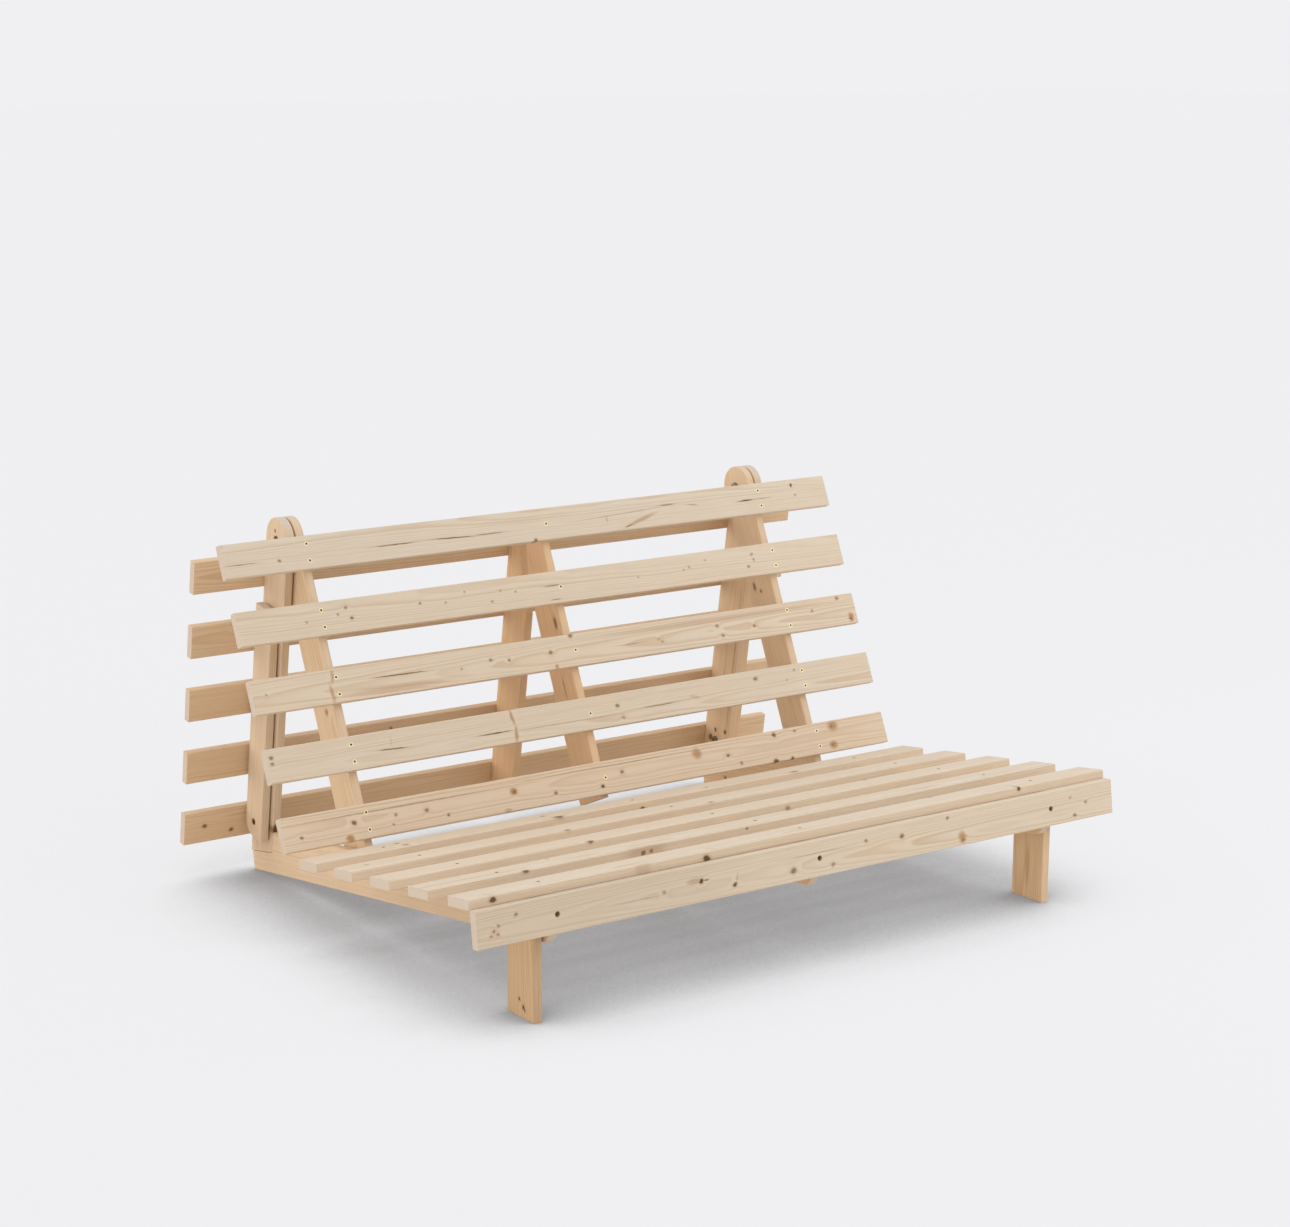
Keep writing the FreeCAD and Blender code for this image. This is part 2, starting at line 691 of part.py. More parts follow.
def check(nodes):
    """Stop if anything in the document failed or any node's shape is missing or broken."""
    doc.recompute()
    for item in doc.Objects:
        if "Invalid" in item.State or "Error" in item.State:
            raise RuntimeError(f"{item.Label} failed: {item.State}")
    for node in nodes:
        if node.Shape.isNull() or not node.Shape.isValid():
            raise RuntimeError(f"{node.Label} has no valid shape")


doc = FreeCAD.newDocument("FutonFrame")
size = make_sheet("Sizes", SIZES)
layout = make_sheet("Layout", work_out(size))
seat, back, rear = lay_sections()
nodes = []

make_slats()
for name, side in SIDES:
    nodes.append(make_outer_seat_rail(name, side))
nodes.append(make_centre_seat_rail())
nodes.extend(make_back_rails())
nodes.extend(make_rear_rails())
nodes.extend(make_legs())
nodes.extend(make_stays())
nodes.append(make_front_board())
make_board_fasteners()
make_pivot("back", back.origin, 1, floats=False)
make_pivot("top", rear.origin, 1, floats=False)
make_pivot("leg", leg_section().origin, 2, floats=True)
make_pivot("stay", rear.place(layout.stay_pivot_reach).Base, 2, floats=True)

check(nodes)
os.makedirs("parts", exist_ok=True)
for node in nodes:
    node.Shape.exportStep(f"parts/{node.Label}.step")
    box = node.Shape.BoundBox
    print(f"{node.Label}: {len(node.Shape.Solids)} solid(s), x {box.XMin:.1f} to {box.XMax:.1f}, "
          f"y {box.YMin:.1f} to {box.YMax:.1f}, z {box.ZMin:.1f} to {box.ZMax:.1f}")
for label, section in (("back pivot", back), ("top pivot", rear), ("leg pivot", leg_section())):
    print(f"{label}: y {section.origin.y:.4f}, z {section.origin.z:.4f}")
stay_pivot = rear.place(layout.stay_pivot_reach).Base
print(f"stay pivot: y {stay_pivot.y:.4f}, z {stay_pivot.z:.4f}")
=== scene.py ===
import math
import random

import bmesh
import bpy
from mathutils import Matrix, Vector


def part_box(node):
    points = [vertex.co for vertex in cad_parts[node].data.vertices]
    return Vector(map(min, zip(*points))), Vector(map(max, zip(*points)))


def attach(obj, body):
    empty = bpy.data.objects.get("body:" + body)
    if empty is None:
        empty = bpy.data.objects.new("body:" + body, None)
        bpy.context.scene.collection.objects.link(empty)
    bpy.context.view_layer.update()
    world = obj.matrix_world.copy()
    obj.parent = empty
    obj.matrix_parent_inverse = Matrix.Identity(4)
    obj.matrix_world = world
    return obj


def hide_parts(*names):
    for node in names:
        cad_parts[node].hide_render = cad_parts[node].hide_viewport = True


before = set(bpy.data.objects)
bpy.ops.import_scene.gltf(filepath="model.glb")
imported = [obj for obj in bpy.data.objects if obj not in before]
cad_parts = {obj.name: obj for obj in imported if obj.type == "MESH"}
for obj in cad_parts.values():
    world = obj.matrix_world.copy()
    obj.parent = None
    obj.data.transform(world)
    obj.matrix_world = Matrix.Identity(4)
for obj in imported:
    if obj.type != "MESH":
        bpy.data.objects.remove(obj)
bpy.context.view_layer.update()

bl_info = {
    "name": "Folding Futon Frame",
    "version": (1, 0, 0),
    "blender": (4, 5, 0),
    "location": "3D View > Sidebar > Futon",
    "description": "Dresses a folding slatted futon frame in planed spruce and zinc-plated screws",
    "category": "Object",
}

MM = 0.001

# The photo's frame and the camera solved from it, in pixels, degrees and metres.
PHOTO_WIDTH = 1290
PHOTO_HEIGHT = 1227
FOCAL_PIXELS = 2710.65
PRINCIPAL_X = 558.87
PRINCIPAL_Y = 649.71
CAMERA_YAW = 33.78
CAMERA_PITCH = 12.70
CAMERA_ROLL = 0.18
CAMERA_PLACE = (-2.8709, -4.01633, 1.57431)
SENSOR_WIDTH = 36.0
CLIP_END = 300

# How the three sections lie in the side view.
SEAT_SLOPE = math.radians(7.65)
BACK_LEAN = math.radians(23.6)
REAR_LEAN = math.radians(8.7)

ACROSS = Vector((1, 0, 0))
SEAT_ALONG = Vector((0, math.cos(SEAT_SLOPE), -math.sin(SEAT_SLOPE)))
SEAT_FACING = Vector((0, math.sin(SEAT_SLOPE), math.cos(SEAT_SLOPE)))
BACK_ALONG = Vector((0, math.sin(BACK_LEAN), math.cos(BACK_LEAN)))
BACK_FACING = Vector((0, -math.cos(BACK_LEAN), math.sin(BACK_LEAN)))
REAR_ALONG = Vector((0, math.sin(REAR_LEAN), -math.cos(REAR_LEAN)))
REAR_FACING = Vector((0, math.cos(REAR_LEAN), math.sin(REAR_LEAN)))
SECTIONS = {
    "seat": (SEAT_ALONG, SEAT_FACING),
    "back": (BACK_ALONG, BACK_FACING),
    "rear": (REAR_ALONG, REAR_FACING),
}


def linear(hex_text):
    """An sRGB hex colour as linear red, green and blue."""
    parts = [int(hex_text[start:start + 2], 16) / 255 for start in (1, 3, 5)]
    return tuple(part / 12.92 if part <= 0.04045 else ((part + 0.055) / 1.055) ** 2.4 for part in parts)


def opaque(colour):
    """A colour with full alpha, as colour sockets take it."""
    return (*colour, 1.0)


def metres(sizes):
    """Sizes in millimetres as metres."""
    return [MM * size for size in sizes]


def repeats(sizes):
    """How often a pattern repeats in a metre, from its sizes in millimetres."""
    return [1 / (MM * size) for size in sizes]


def add(tree, kind, inputs=None, **settings):
    """Add a node with its settings; an input is a value or the socket to link."""
    node = tree.nodes.new(kind)
    for name, value in settings.items():
        setattr(node, name, value)
    for key, value in (inputs or {}).items():
        if isinstance(value, bpy.types.NodeSocket):
            tree.links.new(value, node.inputs[key])
        else:
            node.inputs[key].default_value = value
    return node


def new_group(name, kind, inputs, outputs):
    """A node group with these sockets, and what its two end nodes hold."""
    tree = bpy.data.node_groups.new(name, kind)
    for side, sockets in (("INPUT", inputs), ("OUTPUT", outputs)):
        for label, socket in sockets:
            tree.interface.new_socket(label, in_out=side, socket_type=f"NodeSocket{socket}")
    return tree, add(tree, "NodeGroupInput").outputs, add(tree, "NodeGroupOutput").inputs


# What colour settings have in common, and lengths.
COLOUR = {"subtype": "COLOR", "size": 3, "min": 0, "max": 1}
LENGTH = {"subtype": "DISTANCE", "unit": "LENGTH"}


class FUTON_PG_wood(bpy.types.PropertyGroup):
    """Colours and grain size of the planed spruce boards."""

    early_wood: bpy.props.FloatVectorProperty(
        name="Early wood", description="Pale spring growth", default=linear("#DED1BE"), **COLOUR)
    late_wood: bpy.props.FloatVectorProperty(
        name="Late wood", description="Darker summer line of each ring", default=linear("#C4A27A"), **COLOUR)
    # The warm tone also paints the warm shade of the inner boards.
    warm_wood_and_shade: bpy.props.FloatVectorProperty(
        name="Warm wood", description="Tone of the warmer boards", default=linear("#E6C39A"), **COLOUR)
    stain: bpy.props.FloatVectorProperty(
        name="Stain", description="Resin stains and wood round knots", default=linear("#AB7B45"), **COLOUR)
    # The knot colour also darkens the wide painted shade marks.
    knot: bpy.props.FloatVectorProperty(
        name="Knot", description="Knots and resin cracks", default=linear("#54300F"), **COLOUR)
    end_grain: bpy.props.FloatVectorProperty(
        name="End grain", description="Sawn ends", default=linear("#CFC3B8"), **COLOUR)
    ring_width: bpy.props.FloatProperty(
        name="Ring width", description="One year's growth", default=2.4 * MM, min=0.5 * MM, max=12 * MM,
        **LENGTH)


class FUTON_PG_screws(bpy.types.PropertyGroup):
    """Sizes of the countersunk slat screws, and the colours of all fittings."""

    head: bpy.props.FloatProperty(
        name="Head", description="Head diameter", default=8 * MM, min=4 * MM, max=12 * MM, **LENGTH)
    shank: bpy.props.FloatProperty(
        name="Shank", description="Shank diameter", default=4 * MM, min=2 * MM, max=6 * MM, **LENGTH)
    length: bpy.props.FloatProperty(
        name="Length", description="Head to point", default=40 * MM, min=15 * MM, max=60 * MM, **LENGTH)
    plating: bpy.props.FloatVectorProperty(
        name="Plating", description="Yellow zinc plate", default=linear("#FBEFB8"), **COLOUR)
    # The seat's screws get a darker plate colour as painted shade, for the shadow their heads sit in.
    seat_shade_plate: bpy.props.FloatVectorProperty(
        name="Worn", description="Dull plate of the seat's screws", default=linear("#8E826E"), **COLOUR)
    # The recess colour is painted shade, dark for the shadow in the cross and on the head's middle.
    recess: bpy.props.FloatVectorProperty(
        name="Recess", description="Shaded cross recess", default=linear("#33261A"), **COLOUR)
    bolt_steel: bpy.props.FloatVectorProperty(
        name="Bolt steel", description="Browned steel of the bolts", default=linear("#8A6A48"), **COLOUR)
    nut_plate: bpy.props.FloatVectorProperty(
        name="Nut plate", description="Dull zinc of nuts and spacers", default=linear("#98907F"), **COLOUR)


class FUTON_PG_stage(bpy.types.PropertyGroup):
    """Floor, light and background."""

    background: bpy.props.FloatVectorProperty(
        name="Background", description="Floor and backdrop as seen", default=linear("#F0F0F2"), **COLOUR)
    paper: bpy.props.FloatVectorProperty(
        name="Paper", description="The floor's paper", default=linear("#ECECEE"), **COLOUR)
    bounce: bpy.props.FloatVectorProperty(
        name="Bounce", description="The floor as it lights the frame", default=linear("#F0E8DE"), **COLOUR)
    evenness: bpy.props.FloatProperty(
        name="Evenness", description="How much of the floor's look is the even backdrop", subtype="FACTOR",
        default=0.85, min=0, max=1)
    contact: bpy.props.FloatProperty(
        name="Contact", description="Backdrop left where the frame shelters it most", subtype="FACTOR",
        default=0.29, min=0, max=1)
    room_light: bpy.props.FloatProperty(
        name="Room light", description="Even light all round", default=0.34, min=0, max=2)
    front_light: bpy.props.FloatProperty(
        name="Front light", description="Soft light from the front", default=0.62, min=0, max=6)
    left_light: bpy.props.FloatProperty(
        name="Left light", description="Soft light from the left", default=1.0, min=0, max=6)
    right_light: bpy.props.FloatProperty(
        name="Right light", description="Watts of the lamp at the front right", default=11, min=0, max=60)
    rear_light: bpy.props.FloatProperty(
        name="Rear light", description="Low light from behind on the left", default=1.15, min=0, max=6)
    top_light: bpy.props.FloatProperty(
        name="Top light", description="Soft light from above", default=1.2, min=0, max=6)
    left_tint: bpy.props.FloatVectorProperty(
        name="Left tint", description="Tint of left and rear lights", default=linear("#FFF4E6"), **COLOUR)
    top_tint: bpy.props.FloatVectorProperty(
        name="Top tint", description="Tint of the top light", default=linear("#EEF4FF"), **COLOUR)


# A mark that goes right through a board reaches this far each way from its middle, in millimetres.
THROUGH = 40
KNOT_STAINING = 0.35
STREAK_STAINING = 0.3
# Growth rings that a knot pushes aside, for each millimetre of its radius.
KNOT_SWELLING = 1 / 9
# A slat's knot near its edge lies close under the upper face.
CORNER_HEIGHT = 8
CORNER_DEPTH = 5
EDGE_KNOT_REACH = 30


def mark(place, half, turn=0, dark=0, staining=0, swelling=0):
    """A mark as inputs to its node group; sizes in millimetres, the turn in degrees."""
    return {
        "Place": metres(place), "Half size": metres(half), "Turn": (0, 0, math.radians(turn)),
        "Darkness": dark, "Staining": staining, "Swelling": swelling,
    }


def knot(along, across, radius, dark=0.8, stretch=1.15):
    """A round knot through a board's wide face, in millimetres from the face's middle."""
    half = (radius * stretch, radius, THROUGH)
    return mark((along, across, 0), half, 0, dark, KNOT_STAINING, radius * KNOT_SWELLING)


def corner_knot(along, across, radius, dark=0.8, stretch=1.5, squash=0.9):
    """A knot by the edge of a slat's upper face: it reaches only part of the way down."""
    half = (radius * stretch, radius * squash, CORNER_DEPTH)
    return mark((along, across, CORNER_HEIGHT), half, 0, dark, KNOT_STAINING, radius * KNOT_SWELLING)


def edge_knot(along, across, height, radius, dark=0.9, stretch=1.2):
    """A knot on a board's narrow edge: it runs into the board's width."""
    half = (radius * stretch, EDGE_KNOT_REACH, radius)
    return mark((along, across, height), half, 0, dark, KNOT_STAINING, radius * KNOT_SWELLING)


def streak(start, end, across, width=1.1, dark=0.6, rise=0):
    """A thin dark resin line along the grain, which may rise over its length."""
    run = end - start
    turn = math.degrees(math.atan2(rise, run))
    place = ((start + end) / 2, across + rise / 2, 0)
    return mark(place, (run / 2, width, THROUGH), turn, dark, STREAK_STAINING)


def stain(along, across, length, width, turn=0, strength=0.6):
    """A soft brown patch or a trace of a branch; its halo fades out beyond a third of its size."""
    return mark((along, across, 0), (length / 3, width / 3, THROUGH), turn, 0, strength)


def painted_shade(along, across, length, width, dark):
    """A wide, faint painted shade: the board darkened where less light falls on it."""
    return mark((along, across, 0), (length / 2, width / 2, THROUGH), 0, dark)


# Marks that set these boards apart, in millimetres along and across from the board's middle.
MARKS = {
    "back_slat_5": [
        streak(-392, -292, -5.5, 1.3, 0.75), streak(-270, -158, -4, 1.3, 0.75, -4),
        streak(-165, -98, -6.5, 1.4, 0.6), streak(-700, -632, -9, 1.0, 0.5), knot(-588, -10, 3.2, 0.55),
        knot(-32, -30, 4, 0.7), streak(88, 275, -2, 0.9, 0.25, 8), streak(272, 312, 9, 1.6, 0.5),
        streak(340, 368, 5, 1.2, 0.4, -4), stain(222, -15, 92, 9, 15, 0.55),
        streak(180, 203, -27, 1.5, 0.7, 5), stain(142, -6, 5, 16, 0, 0.35),
        streak(466, 512, -2, 1.8, 0.95, 1), streak(505, 555, -1, 1.0, 0.4), knot(612, 19, 4.2, 0.95, 0.8),
        knot(617, -2, 2.6, 0.35), stain(-60, 12, 220, 14, 0, 0.1),
    ],
    "back_slat_4": [
        knot(-475, 15, 3.2, 0.45), knot(-466, -6, 3.6, 0.6), knot(-493, 4, 2.4, 0.4),
        knot(-560, -3, 2.2, 0.3), knot(-317, 4, 2.8, 0.5), knot(-262, -1, 2.2, 0.25),
        knot(-160, -11, 2.6, 0.3), knot(-217, 15, 2.2, 0.3), knot(-138, 7, 2.2, 0.3),
        knot(-104, 2, 2.2, 0.3), streak(-40, 0, 4, 1.8, 0.45), streak(-30, -5, -24, 1.2, 0.5),
        knot(456, -11, 3.2, 0.5), knot(470, 13, 3.2, 0.4), knot(472, 2, 2.6, 0.4), knot(310, 4, 2.4, 0.3),
        knot(352, 14, 2.2, 0.25), knot(295, 0, 2.0, 0.25), knot(183, -2, 2.2, 0.22),
    ],
    "back_slat_3": [
        stain(-533, 18, 8, 30, -12, 0.6), stain(-540, -14, 9, 40, 6, 0.6),
        streak(-462, -320, 4.5, 1.4, 0.75, -2.5), stain(-400, -20, 250, 15, 0, 0.35),
        knot(-193, 5, 3.2, 0.5), knot(-153, -1, 3.2, 0.55), knot(-57, 2, 4, 0.6),
        stain(-50, -27, 10, 12, 0, 0.7), knot(-5, 29, 5, 0.6), knot(-673, 2, 2.4, 0.35),
        knot(-260, -4, 2.2, 0.25), stain(340, 18, 600, 13, 0, 0.35), knot(344, 5, 3.6, 0.45),
        knot(352, -16, 3.6, 0.45), knot(434, -6, 3.4, 0.55), knot(588, 7, 3, 0.35),
        knot(659, 25, 4.2, 0.5), stain(684, -18, 15, 22, 0, 0.85), knot(683, -21, 3.4, 0.5),
        streak(98, 152, -5, 1.1, 0.3), knot(197, -3, 2.2, 0.25), knot(205, -10, 2.2, 0.25),
    ],
    "back_slat_2": [
        knot(-690, 15, 4, 0.6), knot(-690, 4, 3.4, 0.5), streak(-478, -408, -3, 1.5, 0.75, -3),
        streak(-262, -178, -7.5, 1.5, 0.8), stain(-176, 17, 8, 34, 8, 0.7),
        stain(-174, -15, 9, 36, -10, 0.7), stain(-443, 10, 4, 20, 0, 0.25), knot(65, 6, 4, 0.6),
        knot(73, -19, 3, 0.35), streak(118, 205, -6.5, 1.2, 0.6, 1), stain(250, -2, 28, 8, -14, 0.3),
        knot(406, 14, 4.2, 0.6, 1.3), knot(506, 19, 2.6, 0.35), knot(483, 2, 2, 0.2),
        streak(-160, 60, -10, 1.0, 0.22),
    ],
    "back_slat_1": [
        knot(-554, 1, 4.8, 0.75), knot(-664, -9, 3.2, 0.6), stain(-568, -26, 20, 16, 0, 0.85),
        knot(-467, 2, 3.2, 0.45), knot(-475, -15, 2.4, 0.4), knot(-401, 0, 3.8, 0.55),
        knot(-358, -16, 3, 0.6), stain(-209, 5, 18, 15, 0, 0.9), knot(-207, 4, 4.2, 0.45),
        knot(-118, -12, 3.6, 0.6), knot(-11, -16, 4, 0.85), stain(-230, -28, 20, 8, 0, 0.5),
        knot(40, 5, 3.6, 0.6), knot(295, -1, 3.6, 0.65), knot(323, -21, 3.6, 0.45),
        knot(418, 23, 5, 0.75), knot(470, 24, 3, 0.5), stain(222, 14, 26, 24, -30, 0.75),
        stain(568, 20, 30, 24, 0, 0.75), stain(560, -18, 24, 18, 0, 0.8), knot(408, -30, 6, 0.85),
        knot(450, -30, 4, 0.8), knot(566, 20, 4, 0.38), knot(558, -18, 3.6, 0.34),
        streak(-700, -250, 16, 1.3, 0.35), streak(-215, 240, 21, 1.1, 0.3),
    ],
    "seat_slat_5": [
        knot(-512, 10, 5, 0.45), knot(-508, -16, 6, 0.5), knot(-200, 6, 5, 0.4),
        corner_knot(-186, -26, 8, 0.85), corner_knot(372, -24, 7, 0.6), knot(165, -14, 4, 0.4),
        edge_knot(0, -32, -6, 5.5),
    ],
    "seat_slat_4": [
        corner_knot(-253, -28, 4.5, 0.7), corner_knot(70, -27, 4.5, 0.7), knot(-648, 6, 4, 0.3),
    ],
    "seat_slat_3": [
        corner_knot(-290, -30, 5, 0.7), corner_knot(384, 28, 3.5, 0.5), edge_knot(148, -32, -3, 5, 0.4),
    ],
    "seat_slat_2": [
        corner_knot(-508, -30, 5, 0.75), corner_knot(100, 30, 6, 0.6), knot(-430, 22, 3, 0.3),
        edge_knot(-268, -32, -2, 5, 0.7), edge_knot(-251, -32, -1, 4, 0.6),
        edge_knot(-43, -32, 4, 2.5, 0.6), stain(-262, -31, 90, 16, 0, 0.35),
    ],
    "seat_slat_1": [
        edge_knot(-654, -32, 1.5, 5.6), edge_knot(-227, -32, -3.5, 6.6), edge_knot(486, -32, 5.5, 4.2),
        stain(-358, -31, 36, 9, 0, 0.25), corner_knot(325, 30, 5, 0.5),
    ],
    # The front board's wide darkening on its left part is painted shade.
    "front_board": [
        knot(-625, 14, 3.4, 0.5), knot(-660, 2, 2.6, 0.5), knot(-668, -6, 2.6, 0.55),
        knot(-661, -12, 2.6, 0.45), knot(-674, -13, 2, 0.4), knot(-333, -2, 3.8, 0.35),
        knot(-255, 4, 5.4, 0.95, 1.0), stain(-270, 6, 36, 12, 0, 0.45), streak(-250, -238, 4, 1.6, 0.7),
        knot(-185, -14, 4.2, 0.85), stain(-180, -4, 6, 22, -12, 0.35), knot(-59, -12, 6, 0.6),
        knot(28, -16, 4, 0.4), knot(105, 13, 3.4, 0.5), knot(187, 8, 4.2, 0.65, 1.3),
        knot(294, 23, 3.2, 0.55), stain(327, -17, 20, 26, 14, 0.7), knot(328, -22, 4.4, 0.4),
        knot(594, 13, 2.6, 0.3), knot(604, -21, 3.6, 0.55), knot(633, -1, 3, 0.4),
        streak(-430, -340, -5, 1.0, 0.22), streak(-60, 60, 10, 1.0, 0.18), painted_shade(-560, 0, 900, 300, 0.09),
    ],
    "rear_slat_5": [
        knot(-658, -2, 4.6, 0.75), knot(-600, 15, 4.6, 0.75), knot(-141, 19, 5.5, 0.75),
        knot(-270, 21, 3, 0.5),
    ],
    "rear_slat_1": [knot(-300, -18, 3, 0.7), knot(250, -20, 4, 0.6)],
    # The left leg's wide darkenings are painted shade: a strip on its front edge under the front board, and
    # the whole leg under the seat.
    "leg_left": [
        knot(75, 3, 3.4, 0.9), knot(86, -9, 4.4, 0.9), knot(90, -13, 3, 0.85),
        painted_shade(30, -41, 300, 10, 0.25), painted_shade(0, 0, 600, 200, 0.24),
    ],
    "leg_right": [stain(42, 0, 90, 13, 0, 0.4)],
    "rear_rail_right": [
        knot(247, 1, 4.6, 0.85), knot(240, -32, 4.6, 0.85), knot(268, 15, 7, 0.8),
        streak(-60, 240, -35, 2.4, 0.2),
    ],
    "rear_rail_left": [knot(-316, 3, 3.2, 0.95), knot(-303, 3, 3.2, 0.95), edge_knot(272, -41, 0, 11)],
    "back_rail_right": [knot(90, -1, 4, 0.55), knot(104, -19, 5, 0.65, 2.0)],
    "back_rail_centre": [knot(73, 5, 5.5, 0.65, 2.6), streak(-80, -30, -16, 2.2, 0.4)],
    "back_rail_left": [knot(-20, 8, 5.5, 0.45)],
    # The left seat rail's wide darkening is painted shade.
    "seat_rail_left": [painted_shade(-420, 0, 900, 200, 0.11)],
}

# Boards that are clear of knots.
CLEAR_BOARDS = ("stay_left", "stay_right", "seat_rail_centre", "rear_rail_centre")

# Any other board gets a few small knots: how many, how far from its middle, in millimetres across and as a
# share of its length, and their radius and darkness.
STRAY_KNOTS = (2, 4)
STRAY_ACROSS = 26
STRAY_REACH = 0.45
STRAY_RADIUS = (2.4, 5.0)
STRAY_DARKNESS = (0.35, 0.75)

# Boards that are warmer and more strongly lined than the rest; 0 is pale and 1 is tan. The high tones of the
# rear slats, legs, centre and right rails and right stay are painted warm shade.
TONES_AND_SHADE = {
    "back_slat_1": 0.32, "back_slat_3": 0.15, "back_slat_2": 0.08, "rear_slat_5": 0.65, "rear_slat_4": 0.65,
    "rear_slat_3": 0.65, "rear_slat_2": 0.6, "rear_slat_1": 0.65, "leg_left": 0.75, "leg_right": 0.65,
    "rear_rail_centre": 0.9, "back_rail_centre": 0.9, "rear_rail_right": 0.6, "back_rail_right": 0.55,
    "seat_rail_left": 0.4, "seat_rail_centre": 0.8, "seat_rail_right": 0.7, "back_rail_left": 0.5,
    "rear_rail_left": 0.35, "stay_left": 0.35, "stay_right": 0.8,
}
PALEST_TONES = (0, 0.12)
# The legs' strong lines also darken them as painted shade.
LINED_AND_SHADED = {"back_slat_1": 0.7, "rear_slat_5": 0.5, "rear_slat_1": 0.5, "leg_left": 0.9, "leg_right": 0.7}
PLAIN_CONTRAST = 0.48
# Seat slats are toned tanner on their narrow edges than on their faces: painted warm shade on the edges,
# which the top light misses.
PAINTED_EDGE_SHADE = 0.22

# Sizes of the wood's patterns in millimetres: along the grain, across it and through the board. Real fibres
# are finer than these; 1.25 mm wide streaks are the finest that show.
WANDER_SIZE = (455, 71.4, 71.4)
WANDER_REACH = (0, 11, 11)
CLOUD_SIZE = (200, 38.5, 38.5)
FIBRE_SIZE = (71.4, 1.25, 1.25)
RAGGED_SIZE = (16.7, 3.33, 3.33)
RAGGED_REACH = (6, 2, 2)
NOISE_MIDDLE = (0.5, 0.5, 0.5)

# The log's pith against a board: its slope, and how far aside and how deep it lies, in millimetres.
PITH_SLOPE = 0.012
PITH_ASIDE = 28
PITH_DEPTH = (24, 60)
SEED_LIMIT = 50

# Where in a year's growth late wood begins, is darkest and breaks off, and how strong a faint year is.
LATE_BEGIN = 0.25
LATE_FULL = 0.88
LATE_BREAK = 0.9
FAINT_YEAR = 0.25
CLOUD_TONE = 0.15
SAWN_SHARE = 0.72
FIBRE_SHADE = (0.90, 1.06)
PLANED_ROUGHNESS = (0.52, 0.74)
RING_RELIEF = 0.5
BUMP_HEIGHT = 0.35 * MM


def mark_group():
    """One mark on a board: a soft-edged spot that darkens or stains the wood and turns the rings aside."""
    carried = [("Dark", "Float"), ("Stain", "Float"), ("Swell", "Float")]
    tree, given, made = new_group(
        "board mark", "ShaderNodeTree",
        [("Vector", "Vector"), ("Place", "Vector"), ("Turn", "Vector"), ("Half size", "Vector"),
         ("Darkness", "Float"), ("Staining", "Float"), ("Swelling", "Float"), *carried], carried)
    near = add(tree, "ShaderNodeMapping", {
        "Vector": given["Vector"], "Location": given["Place"], "Rotation": given["Turn"],
        "Scale": given["Half size"]}, vector_type="TEXTURE")
    reach = add(tree, "ShaderNodeVectorMath", {0: near.outputs[0]}, operation="LENGTH").outputs["Value"]
    # Where the core, the halo and the bent rings end and where they are full, in half sizes from the middle.
    spreads = {"core": (1.1, 0.55), "halo": (1.9, 0.6), "bent": (4.5, 0.5)}
    shapes = {}
    for name, (end, full) in spreads.items():
        shapes[name] = add(tree, "ShaderNodeMapRange", {"Value": reach, "From Min": end, "From Max": full},
                           interpolation_type="SMOOTHSTEP").outputs[0]
    for name, shape, amount in (("Dark", "core", "Darkness"), ("Stain", "halo", "Staining")):
        strength = add(tree, "ShaderNodeMath", {0: shapes[shape], 1: given[amount]}, operation="MULTIPLY")
        most = add(tree, "ShaderNodeMath", {0: strength.outputs[0], 1: given[name]}, operation="MAXIMUM")
        tree.links.new(most.outputs[0], made[name])
    total = add(tree, "ShaderNodeMath", {0: shapes["bent"], 1: given["Swelling"], 2: given["Swell"]},
                operation="MULTIPLY_ADD")
    tree.links.new(total.outputs[0], made["Swell"])
    return tree


